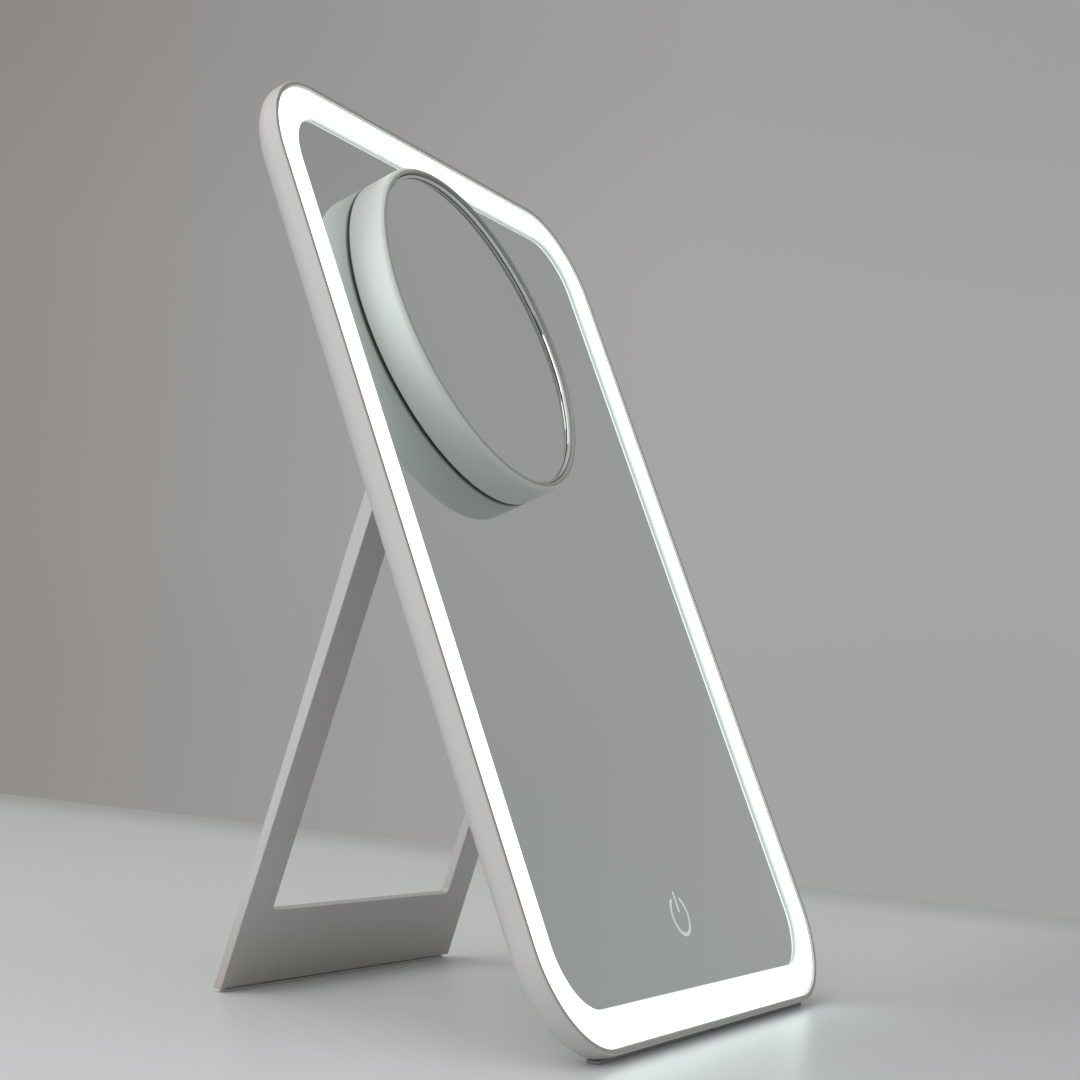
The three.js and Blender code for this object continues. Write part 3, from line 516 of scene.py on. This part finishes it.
band_inset, lip_reach, lip_back = 13.4, 0.7, -1.27
diffuser_thickness, diffuser_edge, lip_edge = 2.0, 0.05, 0.04
glow_strength, glow_depth = 1.95, 0.1
milk_white, lip_painted_grey = "#f4f7f5", "#bcc1bf"
panel_out = Vector((0.0, -math.cos(panel_tilt), math.sin(panel_tilt)))

# Acrylic with a milky filler, moulded smooth: the lamps blend in it to one even, cool white with
# no bright spots, and its lip falls away to a dimmer glow. Down the lip its colour is painted from
# the milky white to a grey near the mirror's tone: a painted reflection of the mirror seen through
# the thin acrylic.
opal_acrylic, tree, shader, place = new_finish("moulded_opal_acrylic", milk_white, 0.35)
shader.inputs["IOR"].default_value = 1.49
shader.inputs["Emission Color"].default_value = linear("#eefff8")
level = add_node(tree, "ShaderNodeVectorMath", operation="DOT_PRODUCT",
                 values={1: panel_out}, links={0: place}).outputs["Value"]
face_level = panel_out.dot(Vector(panel_foot))
depth = add_node(tree, "ShaderNodeMapRange",
                 values={"From Min": face_level - glow_depth / 1000,
                         "From Max": face_level + lip_back / 1000},
                 links={"Value": level}).outputs["Result"]
fade = add_node(tree, "ShaderNodeValToRGB", links={"Fac": depth})
set_stops(fade, [(place, (share, share, share, 1.0)) for place, share in (
    (0.0, 1.0), (0.12, 0.34), (0.5, 0.24), (1.0, 0.18))])
glow = add_node(tree, "ShaderNodeMath", operation="MULTIPLY", values={1: glow_strength},
                links={0: fade.outputs["Color"]}).outputs["Value"]
tree.links.new(glow, shader.inputs["Emission Strength"])
milk = add_node(tree, "ShaderNodeMix", data_type="RGBA",
                values={6: linear(milk_white), 7: linear(lip_painted_grey)}, links={0: depth}).outputs[2]
tree.links.new(milk, shader.inputs["Base Color"])

outer_inset = rim_width + gap
diffuser = carried_round("light_ring", panel_sides, corner_radius, [
    (outer_inset, -diffuser_thickness), (outer_inset, -diffuser_edge), (outer_inset + diffuser_edge, 0.0),
    (band_inset + 0.1, 0.0), (band_inset + 0.2, -0.08), (band_inset + lip_reach, lip_back + lip_edge),
    (band_inset + lip_reach, lip_back), (band_inset, lip_back), (band_inset, -diffuser_thickness),
], closed=True)
fit(diffuser, in_panel, "panel", opal_acrylic, ["light_diffuser"])

# Mirror glass
# A sheet of float glass, silvered on its back and with ground edges. It lies on a steel plate just
# below the light, whose lip laps over it.

mirror_inset, mirror_back, ground_edge = 13.7, -3.3, 0.25
wipe_width = 35

# Float glass, silvered on its back: a sharp reflection with a faint green-grey cast, blurred a
# little in patches 35 mm across by the film that a wipe leaves.
silvered_glass, tree, shader, place = new_finish("silvered_float_glass", "#dde2e0", 0.012, 1.0)
wipe = add_node(tree, "ShaderNodeTexNoise", values={"Scale": 1000 / wipe_width, "Detail": 4.0},
                links={"Vector": place}).outputs["Fac"]
wipe_film_and_foot_shade = add_node(tree, "ShaderNodeMapRange", values={"To Min": 0.006, "To Max": 0.022},
                links={"Value": wipe}).outputs["Result"]
tree.links.new(wipe_film_and_foot_shade, shader.inputs["Roughness"])

mirror = carried_round("mirror_glass", panel_sides, corner_radius, [
    (mirror_inset + ground_edge, mirror_back), (mirror_inset, mirror_back + ground_edge),
    (mirror_inset, mirror_front - ground_edge), (mirror_inset + ground_edge, mirror_front)])
fit(mirror, in_panel, "panel", silvered_glass, ["main_mirror"])

# Touch mark
# A plain ring and bar, etched through the silver of the glass over the touch sensor, so that light
# from behind shows them.

mark_height, mark_radius, mark_stroke, mark_rise = 38.0, 6.6, 1.3, 0.03
ring_start, ring_sweep, ring_steps = 35, 290, 60
bar_low, bar_high = 1.6, 7.8
pit_width, pit_depth = 0.4, 0.01

# Glass frosted with an etching paste: it spreads the light behind it into a dull, even glow and
# reflects nothing. Its 0.1 mm pits are drawn at 0.4 mm.
etched_window, tree, shader, place = new_finish("etched_frosted_glass", "#cfddd7", 0.5)
shader.inputs["Emission Color"].default_value = linear("#d6e6e0")
shader.inputs["Emission Strength"].default_value = 0.3
etch = add_node(tree, "ShaderNodeTexNoise", values={"Scale": 1000 / pit_width, "Detail": 2.0},
                links={"Vector": place}).outputs["Fac"]
bump = add_node(tree, "ShaderNodeBump", values={"Strength": 0.4, "Distance": pit_depth / 1000},
                links={"Height": etch}).outputs["Normal"]
tree.links.new(bump, shader.inputs["Normal"])


def round_end(centre, half, heading):
    turns = [heading + step / 8 * math.pi for step in range(1, 8)]
    return [(centre[0] + half * math.cos(a), centre[1] + half * math.sin(a)) for a in turns]


def mark_stroke_body(name, line, half):
    """A flat stroke of even width along a line of points, with round ends."""
    left, right = [], []
    for at, (x, y) in enumerate(line):
        before, after = line[max(at - 1, 0)], line[min(at + 1, len(line) - 1)]
        heading = math.atan2(after[1] - before[1], after[0] - before[0])
        left.append((x - half * math.sin(heading), y + half * math.cos(heading)))
        right.append((x + half * math.sin(heading), y - half * math.cos(heading)))
    start = math.atan2(line[1][1] - line[0][1], line[1][0] - line[0][0])
    end = math.atan2(line[-1][1] - line[-2][1], line[-1][0] - line[-2][0])
    tip = round_end(line[-1], half, end - math.pi / 2)
    tail = round_end(line[0], half, start + math.pi / 2)
    return drawn_out(name, right + tip + left[::-1] + tail, mirror_front, mirror_front + mark_rise)


ring_turns = [math.radians(ring_start + step * ring_sweep / ring_steps) for step in range(ring_steps + 1)]
ring_line = [(mark_radius * math.sin(a), mark_height + mark_radius * math.cos(a)) for a in ring_turns]
bar_line = [(0.0, mark_height + bar_low), (0.0, mark_height + bar_high)]
mark_ring = mark_stroke_body("touch_mark_ring", ring_line, mark_stroke / 2)
mark_bar = mark_stroke_body("touch_mark_bar", bar_line, mark_stroke / 2)
for stroke in (mark_ring, mark_bar):
    fit(stroke, in_panel, "panel", etched_window)

# Side buttons
# Two moulded bars in the right-hand edge, power above and brightness below, each with a flange
# behind the wall and a stem that presses its switch. A raised dot marks power, and a raised dash
# marks brightness, so that the finger tells them apart.

button_proud, button_length, button_width, button_back = 0.5, 13.0, 2.6, 110.5
mark_proud, mark_width, mark_back = 0.75, 1.0, 114.0
mark_lengths = {"power": 1.0, "brightness": 4.0}
flange_length, flange_back, flange_front = 16.2, 109.5, 110.7
stem_radius, stem_back, stem_front = 1.1, 109.2, 109.7


def under_skin(bar, proud):
    limit = outer_skin("limit")
    limit.data.transform(Matrix.Translation((proud, 0, 0)))
    return carve(bar, [limit], "INTERSECT")


for name, height in button_heights.items():
    bar = edge_bar(f"{name}_key", height, button_length, button_width, button_back, past_edge)
    under_skin(bar, button_proud)
    mark = edge_bar("mark", height, mark_lengths[name], mark_width, mark_back, past_edge)
    under_skin(mark, mark_proud)
    flange = edge_bar("flange", height, flange_length, button_width, flange_back, flange_front)
    stem = turned("stem", [(stem_radius, stem_back), (stem_radius, stem_front)], steps=24)
    stem.data.transform(Matrix.Translation((0, height, button_level))
                        @ Matrix.Rotation(math.pi / 2, 4, "Y"))
    carve(bar, [mark, flange, stem], "UNION")
    fit(bar, in_panel, f"{name}_button", satin_abs, [f"{name}_button"], edge=0.2)

# Charging inlet
# A drawn and nickel-plated steel sleeve in the right-hand edge, with a black nylon tongue on its
# centre line that carries gold contacts, six on each face.

sleeve_length, sleeve_width = 9.0, 3.2
bore_length, bore_width, sleeve_floor = 8.3, 2.5, 0.7
tongue_half, tongue_half_thickness, tongue_foot, tongue_sunk = 3.1, 0.35, 0.65, 0.8
contact_count, contact_first, contact_half = 6, 2.5, 0.22
contact_back, contact_front, contact_low, contact_high = 4.5, 1.1, 0.34, 0.39
drawn_rub, plug_rub = 1.2, 0.8

# Steel drawn over a die and plated with bright nickel: a slightly warm metal whose gloss is
# broken by faint rub marks, drawn 1.2 mm across.
nickel_steel, tree, shader, place = new_finish("nickel_plated_steel", "#c4c3bf", 0.24, 1.0)
drawn = add_node(tree, "ShaderNodeTexNoise", values={"Scale": 1000 / drawn_rub, "Detail": 4.0},
                 links={"Vector": place}).outputs["Fac"]
sheen = add_node(tree, "ShaderNodeMapRange", values={"To Min": 0.16, "To Max": 0.34},
                 links={"Value": drawn}).outputs["Result"]
tree.links.new(sheen, shader.inputs["Roughness"])
# Nylon filled with short glass fibres: near black and dull, mottled where fibres reach the skin.
black_nylon = grained("moulded_glass_filled_nylon", "#1c1d1f", 0.55, 0.5, 0.01)
# A flash of gold on spring bronze: small warm glints, duller in spots 0.8 mm across where a plug
# has rubbed it.
gold_contacts, tree, shader, place = new_finish("gold_plated_bronze", "#d9b25f", 0.22, 1.0)
rubbed = add_node(tree, "ShaderNodeTexNoise", values={"Scale": 1000 / plug_rub, "Detail": 3.0},
                  links={"Vector": place}).outputs["Fac"]
gilt = add_node(tree, "ShaderNodeMapRange", values={"To Min": 0.14, "To Max": 0.34},
                links={"Value": rubbed}).outputs["Result"]
tree.links.new(gilt, shader.inputs["Roughness"])

sleeve = edge_bar("inlet_sleeve", inlet_height, sleeve_length, sleeve_width, inlet_back, inlet_mouth)
bore = edge_bar("bore", inlet_height, bore_length, bore_width,
                inlet_back + sleeve_floor, inlet_mouth + cut_past)
carve(sleeve, [bore])
fit(sleeve, in_panel, "panel", nickel_steel, ["charge_inlet"], edge=0.08)
tongue = box_between(
    "inlet_tongue",
    (inlet_back + tongue_foot, inlet_height - tongue_half, button_level - tongue_half_thickness),
    (inlet_mouth - tongue_sunk, inlet_height + tongue_half, button_level + tongue_half_thickness))
fit(tongue, in_panel, "panel", black_nylon, edge=0.12)
contact_faces = []
contact_points = []
for face_side in (-1, 1):
    for number in range(contact_count):
        y = inlet_height - contact_first + number
        low = button_level + face_side * contact_low
        high = button_level + face_side * contact_high
        start = len(contact_points)
        for z in (low, high):
            contact_points += [
                (inlet_mouth - contact_back, y - contact_half, z),
                (inlet_mouth - contact_front, y - contact_half, z),
                (inlet_mouth - contact_front, y + contact_half, z),
                (inlet_mouth - contact_back, y + contact_half, z)]
        contact_faces += [tuple(start + at for at in corner) for corner in (
            (0, 1, 2, 3), (4, 5, 6, 7), (0, 1, 5, 4), (1, 2, 6, 5), (2, 3, 7, 6), (3, 0, 4, 7))]
contacts = new_body("inlet_contacts", contact_points, contact_faces)
fit(contacts, in_panel, "panel", gold_contacts)

# Feet
# Two silicone rubber pads, pressed into pockets along the lowest line of the edge, on which the
# tilted panel stands level.

foot_drop, foot_sunk = 0.6, 0.5

# Silicone rubber from a matt mould: mid grey with almost no shine. Its grain of 0.2 mm is drawn
# at 0.8 mm so that it shows.
silicone = grained("moulded_silicone_rubber", "#8b8c8c", 0.8, 0.8, 0.03)
for side, x in zip(("left", "right"), foot_places):
    pad = floor_box(f"foot_{side}", foot_length, foot_width, -foot_drop, foot_sunk)
    pad.data.transform(Matrix.Translation((x, 0, 0)))
    fit(pad, in_panel, "panel", silicone, [f"foot_pad_{side}"], edge=0.25)

# Stand
# A moulded frame in the same ABS, thinner towards its foot, with lugs and a heel on its upper
# edge. Drawn on its hinge axis: x along it, y up the plate, z out of its front.

stand_width, stand_length = 157.6, 199.5
stand_open = math.radians(39.4)
hinge_axis = (0.0, 0.02546, 0.194032)
front_level, foot_thickness = 2.5, 3.0
foot_strip, strip_start, strip_inset = 0.9, 1.2, 4.0
taper_start, taper_bend, taper_sag, taper_steps = -50.0, -85.0, 0.9, 20
lug_floor, top_round = -3.0, 3
lug_sides = ((61.2, 52.2), (43.8, 34.8), (-34.8, -43.8), (-52.2, -61.2))
heel_half, heel_top, heel_front = 30.0, 5.0, -0.8
window_sides, window_corner = (-62.2, -172.1, 62.2, -27.0), 2.0
pin_bore_radius, pin_bore_half = 1.3, 14.2
plan_reach = 6.0
lean = stand_open - panel_tilt

in_stand = (Matrix.Translation(hinge_axis)
            @ Matrix.Rotation(math.pi / 2 - panel_tilt + stand_open, 4, "X")
            @ Matrix.Scale(0.001, 4))


def foot_line(height, z):
    """Where a line level with the table, this high over it, crosses the plate at level z."""
    return -stand_length + (height - (front_level - z) * math.sin(lean)) / math.cos(lean)


back_level = front_level - foot_thickness
profile = [(foot_line(strip_start, back_level), back_level),
           (foot_line(strip_start, front_level), front_level), (0.0, front_level)]
half_turn = [step / 24 * math.pi for step in range(1, 24)]
profile += [(front_level * math.sin(a), front_level * math.cos(a)) for a in half_turn]
profile += [(0.0, -front_level), (taper_start, -front_level)]
start, end = Vector((taper_start, -front_level)), Vector(profile[0])
bend = Vector((taper_bend, back_level - taper_sag))
for step in range(1, taper_steps):
    share = step / taper_steps
    profile.append(tuple((1 - share) ** 2 * start + 2 * share * (1 - share) * bend + share ** 2 * end))
stand = drawn_out("stand", profile, -stand_width / 2, stand_width / 2, "x")

half = stand_width / 2
quarter_turn = [step / 10 * math.pi / 2 for step in range(11)]
plan = [(-half, -stand_length - 2 * cut_past), (half, -stand_length - 2 * cut_past)]
plan += [(half - top_round + top_round * math.cos(a), lug_floor - top_round + top_round * math.sin(a))
         for a in quarter_turn]
lug_end = front_level + cut_past
for right, left in lug_sides:
    plan += [(right, lug_floor), (right, lug_end), (left, lug_end), (left, lug_floor)]
plan += [(-half + top_round - top_round * math.sin(a), lug_floor - top_round + top_round * math.cos(a))
         for a in quarter_turn]
carve(stand, [drawn_out("plan", plan, -plan_reach, plan_reach)], "INTERSECT")
heel = box_between("heel", (-heel_half, lug_floor - cut_past, -front_level),
                   (heel_half, heel_top, heel_front))
carve(stand, [heel], "UNION")
window = rounded_outline(window_sides, window_corner, 8)
cuts = [drawn_out("window", window, -plan_reach, plan_reach)]
for middle in hinge_places:
    bore = turned("bore", [(pin_bore_radius, -pin_bore_half), (pin_bore_radius, pin_bore_half)], steps=24)
    bore.data.transform(Matrix.Translation((middle, 0, 0)) @ Matrix.Rotation(math.pi / 2, 4, "Y"))
    cuts.append(bore)
carve(stand, cuts)

# The same sparked ABS, painted a little darker and warmer over the last 36 mm to its foot: painted
# shade, where the frame stands in its own shade near the table.
foot_shade_height, foot_shade_tone = 36, "#e4dfda"
foot_shaded_abs = grained("moulded_satin_abs_painted_shade_foot", housing_grey, **sparked)
tree = foot_shaded_abs.node_tree
shader = tree.nodes["Principled BSDF"]
unshaded_colour = shader.inputs["Base Color"].links[0].from_socket
place = add_node(tree, "ShaderNodeTexCoord").outputs["Object"]
height = add_node(tree, "ShaderNodeSeparateXYZ", links={"Vector": place}).outputs["Z"]
rise_from_foot = add_node(tree, "ShaderNodeMapRange",
                          values={"From Min": 0.0, "From Max": foot_shade_height / 1000},
                          links={"Value": height}).outputs["Result"]
wipe_film_and_foot_shade = add_node(tree, "ShaderNodeMix", data_type="RGBA",
                values={6: linear(foot_shade_tone), 7: linear("#ffffff")},
                links={0: rise_from_foot}).outputs[2]
tint = add_node(tree, "ShaderNodeMix", data_type="RGBA", blend_type="MULTIPLY",
                values={0: 1.0}, links={6: unshaded_colour, 7: wipe_film_and_foot_shade}).outputs[2]
tree.links.new(tint, shader.inputs["Base Color"])
fit(stand, in_stand, "stand", foot_shaded_abs, ["stand_frame"], edge=0.45, segments=3)

# The same silicone left uncoloured: a pale, cloudy grey close to the frame's own tone.
clear_silicone = grained("moulded_natural_silicone", "#b9b8b5", 0.75, 0.8, 0.03)
strip_outline = [(foot_line(height, level), level) for height, level in (
    (0, back_level), (0, front_level), (foot_strip, front_level), (foot_strip, back_level))]
strip = drawn_out("stand_foot", strip_outline, -half + strip_inset, half - strip_inset, "x")
fit(strip, in_stand, "stand", clear_silicone, ["stand_foot_strip"], edge=0.2)

# Hinges
# Pressed and zinc-plated steel brackets with an ear each, screwed to the housing, and turned pins
# with washers that hold the stand by friction.

spangle_width, flat_below = 2.5, math.radians(50)

# Steel with a passivated coat of zinc: a cool blue-grey metal, its soft gloss uneven in patches
# 2.5 mm across.
zinc_steel, tree, shader, place = new_finish("zinc_plated_steel", "#b3b6b8", 0.34, 1.0)
spangle = add_node(tree, "ShaderNodeTexVoronoi", values={"Scale": 1000 / spangle_width},
                   links={"Vector": place}).outputs["Color"]
patch = add_node(tree, "ShaderNodeSeparateColor", links={"Color": spangle}).outputs["Red"]
sheen = add_node(tree, "ShaderNodeMapRange", values={"To Min": 0.26, "To Max": 0.42},
                 links={"Value": patch}).outputs["Result"]
tree.links.new(sheen, shader.inputs["Roughness"])


def dress(names, finish, edge=0.0):
    for name in names:
        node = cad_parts[name]
        for place in node.material_slots:
            place.link = "OBJECT"
            place.material = finish
        if edge:
            rounding = node.modifiers.new("rounding", "BEVEL")
            rounding.width = edge / 1000
            rounding.limit_method = "ANGLE"
            rounding.angle_limit = flat_below


dress([f"hinge_bracket_{side}" for side in ("left", "right")], zinc_steel, 0.1)
dress([f"hinge_pin_{side}" for side in ("left", "right")], nickel_steel)
dress([f"washer_{side}_{place}" for side in ("left", "right") for place in ("inner", "outer")],
      nickel_steel)

# Magnifier
# A round ABS casing on the mirror, with a dished glass sunk in it, a chromed ring round the
# glass, a back cover, a felt pad and four magnets that hold it. The wall round the glass and the
# front of the rim have the same grey paint: painted shade for the faces turned from the lamps.

magnifier_centre, magnifier_radius, magnifier_rise = (-33.3, 248.3), 62.4, 14.4
casing_wall, casing_round, casing_low, casing_edge = 2.5, 2.2, 0.6, 0.3
seat_width, seat_top, seat_low = 3.5, 9.3, 8.3
shaded_front_reach, shaded_from_level = 1.2, 9.5
glass_edge, glass_top, glass_thickness, glass_curve = 59.6, 11.9, 2.0, 600.0
trim_width, ripple_width, ripple_depth = 0.8, 9, 0.2
pad_inner, pad_outer, pad_low, pad_high, pad_edge = 47.6, 59.6, 0.3, 1.2, 0.2
cover_low, cover_high, cover_edge = 1.5, 3.0, 0.2
in_magnifier = in_panel @ Matrix.Translation((*magnifier_centre, mirror_front))

# The same sparked ABS in a cooler, lighter grey: it stands out a little from the warm housing.
cool_abs = grained("moulded_cool_grey_abs", "#d0d3d2", **sparked)

casing_inner = magnifier_radius - casing_wall
rise = [(magnifier_radius - inset, level)
        for inset, level in quarter_round(0, magnifier_rise, casing_round, 10)]
casing = turned("magnifier_body", [
    (casing_inner, casing_low), (magnifier_radius - casing_edge, casing_low),
    (magnifier_radius, casing_low + casing_edge), *rise,
    (casing_inner + 0.25, magnifier_rise - 0.02), (casing_inner + 0.08, magnifier_rise - 0.1),
    (casing_inner, magnifier_rise - casing_edge), (casing_inner, seat_top),
    (casing_inner - seat_width, seat_top), (casing_inner - seat_width, seat_low),
    (casing_inner, seat_low)], steps=256, closed=True)
fit(casing, in_magnifier, "magnifier", cool_abs, ["magnifier_casing"])
casing.data.materials.append(rim_shade_paint)
to_magnifier = in_magnifier.inverted()
# Painted shade: the faces of the inner wall and the front of the rounded rim take the grey paint.
for polygon in casing.data.polygons:
    x, y, level = to_magnifier @ polygon.center
    if math.hypot(x, y) < casing_inner + shaded_front_reach and level > shaded_from_level:
        polygon.material_index = 1


def dish(radius):
    return glass_top - (glass_edge ** 2 - radius ** 2) / (2 * glass_curve)


glass_steps = [glass_edge * (1 - step / 24) for step in range(24)]
front = [(radius, dish(radius)) for radius in glass_steps] + [(0.01, dish(0))]
rear = [(radius, level - glass_thickness) for radius, level in front][::-1]
glass = turned("magnifier_glass", rear + front, steps=192)
fit(glass, in_magnifier, "magnifier", silvered_glass, ["magnifier_mirror"])

# ABS plated with bright chrome: hard dark and light reflections, wavy every 9 mm where the
# plastic under the plating sank.
chromed_abs, tree, shader, place = new_finish("chromed_abs", "#d9dbdc", 0.07, 1.0)
ripple = add_node(tree, "ShaderNodeTexNoise", values={"Scale": 1000 / ripple_width, "Detail": 2.0},
                  links={"Vector": place}).outputs["Fac"]
bump = add_node(tree, "ShaderNodeBump", values={"Strength": 0.3, "Distance": ripple_depth / 1000},
                links={"Height": ripple}).outputs["Normal"]
tree.links.new(bump, shader.inputs["Normal"])
trim = turned("magnifier_ring", [
    (glass_edge - trim_width, 12.05), (glass_edge, 12.1), (glass_edge, 12.98),
    (glass_edge - 0.1, 13.08), (glass_edge - 0.24, 13.02), (glass_edge - 0.74, 12.68),
    (glass_edge - trim_width, 12.6)], steps=256, closed=True)
fit(trim, in_magnifier, "magnifier", chromed_abs, ["magnifier_trim"])

# Pressed wool felt: a soft black that swallows light, with a faint bloom from its loose hairs.
# Its fibres of 0.03 mm are drawn at 0.25 mm.
pressed_felt = grained("pressed_wool_felt", "#2b2c2d", 0.95, 0.25, 0.06)
pressed_felt.node_tree.nodes["Principled BSDF"].inputs["Sheen Weight"].default_value = 0.4
pad = turned("magnifier_felt", [
    (pad_inner, pad_low), (pad_outer, pad_low), (pad_outer, pad_high - pad_edge),
    (pad_outer - pad_edge, pad_high), (pad_inner + pad_edge, pad_high),
    (pad_inner, pad_high - pad_edge)], steps=192, closed=True)
fit(pad, in_magnifier, "magnifier", pressed_felt, ["magnifier_pad"])
cover = turned("magnifier_back", [
    (0.01, cover_low), (glass_edge - cover_edge, cover_low), (glass_edge, cover_low + cover_edge),
    (glass_edge, cover_high), (0.01, cover_high)], steps=192)
fit(cover, in_magnifier, "magnifier", cool_abs, ["magnifier_cover"])
dress([f"magnet_{number}" for number in range(1, 5)], nickel_steel, 0.2)

# Inside
# The white frame that carries the lamps, the steel plate behind the glass, boards, cells,
# switches and screws.

streak_length, streak_narrowing = 12, 40.0
track_spacing, mask_green, over_copper = 3.0, "#1f5a3a", "#2c7450"
weave_width, weave_depth = 0.6, 0.02
crinkle_width, crinkle_depth = 8, 0.4

# ABS filled with titanium white, from a smooth mould: bright, so that it throws light forward.
white_abs = grained("moulded_white_abs", "#f0f0ed", 0.4, 0.4, 0.01)
dress(["light_frame"], white_abs, 0.1)

# Sheet steel as it leaves cold rollers: a dull grey metal with streaks 12 mm long and 0.3 mm wide.
rolled_steel, tree, shader, place = new_finish("cold_rolled_steel_sheet", "#8e9092", 0.38, 1.0)
stretched = add_node(tree, "ShaderNodeMapping", values={"Scale": (streak_narrowing, 1.0, 1.0)},
                     links={"Vector": place}).outputs["Vector"]
rolling = add_node(tree, "ShaderNodeTexNoise", values={"Scale": 1000 / streak_length, "Detail": 3.0},
                   links={"Vector": stretched}).outputs["Fac"]
sheen = add_node(tree, "ShaderNodeMapRange", values={"To Min": 0.3, "To Max": 0.48},
                 links={"Value": rolling}).outputs["Result"]
tree.links.new(sheen, shader.inputs["Roughness"])
dress(["steel_backplate"], rolled_steel)

# Green solder mask over fibreglass: glossy, and lighter where copper lies under it. The tracks
# are drawn 3 mm apart, coarser than the real 0.5 mm.
solder_mask, tree, shader, place = new_finish("solder_mask_on_fibreglass", mask_green, 0.35)
tracks = add_node(tree, "ShaderNodeTexVoronoi", feature="F1", distance="MANHATTAN",
                  values={"Scale": 1000 / track_spacing}, links={"Vector": place})
track = add_node(tree, "ShaderNodeValToRGB", links={"Fac": tracks.outputs["Distance"]})
set_stops(track, [(0.42, linear(mask_green)), (0.5, linear(over_copper))])
tree.links.new(track.outputs["Color"], shader.inputs["Base Color"])
dress(["main_board", "inlet_board", "switch_board", "touch_sensor"], solder_mask)

# White solder mask with lamps along it: a warm white glow over the faint weave of glass cloth.
lamp_strip, tree, shader, place = new_finish("white_mask_lamp_strip", "#f2f2ee", 0.45)
shader.inputs["Emission Color"].default_value = linear("#fffaf0")
shader.inputs["Emission Strength"].default_value = 1.5
weave = add_node(tree, "ShaderNodeTexNoise", values={"Scale": 1000 / weave_width, "Detail": 2.0},
                 links={"Vector": place}).outputs["Fac"]
bump = add_node(tree, "ShaderNodeBump", values={"Strength": 0.2, "Distance": weave_depth / 1000},
                links={"Height": weave}).outputs["Normal"]
tree.links.new(bump, shader.inputs["Normal"])
dress([f"led_strip_{side}" for side in ("top", "bottom", "left", "right")], lamp_strip)

# Aluminium foil between plastic films: silvery, with soft reflections broken by crinkles about
# 8 mm apart.
foil_pouch, tree, shader, place = new_finish("laminated_foil_pouch", "#b9bdc2", 0.36, 0.9)
crinkle = add_node(tree, "ShaderNodeTexNoise", values={"Scale": 1000 / crinkle_width, "Detail": 6.0},
                   links={"Vector": place}).outputs["Fac"]
bump = add_node(tree, "ShaderNodeBump", values={"Strength": 0.5, "Distance": crinkle_depth / 1000},
                links={"Height": crinkle}).outputs["Normal"]
tree.links.new(bump, shader.inputs["Normal"])
dress(["battery_left", "battery_right"], foil_pouch, 0.3)

dress(["power_switch", "brightness_switch"], black_nylon, 0.1)
dress([f"{kind}_screw_{number}" for kind in ("board", "bracket") for number in range(1, 5)],
      zinc_steel, 0.08)
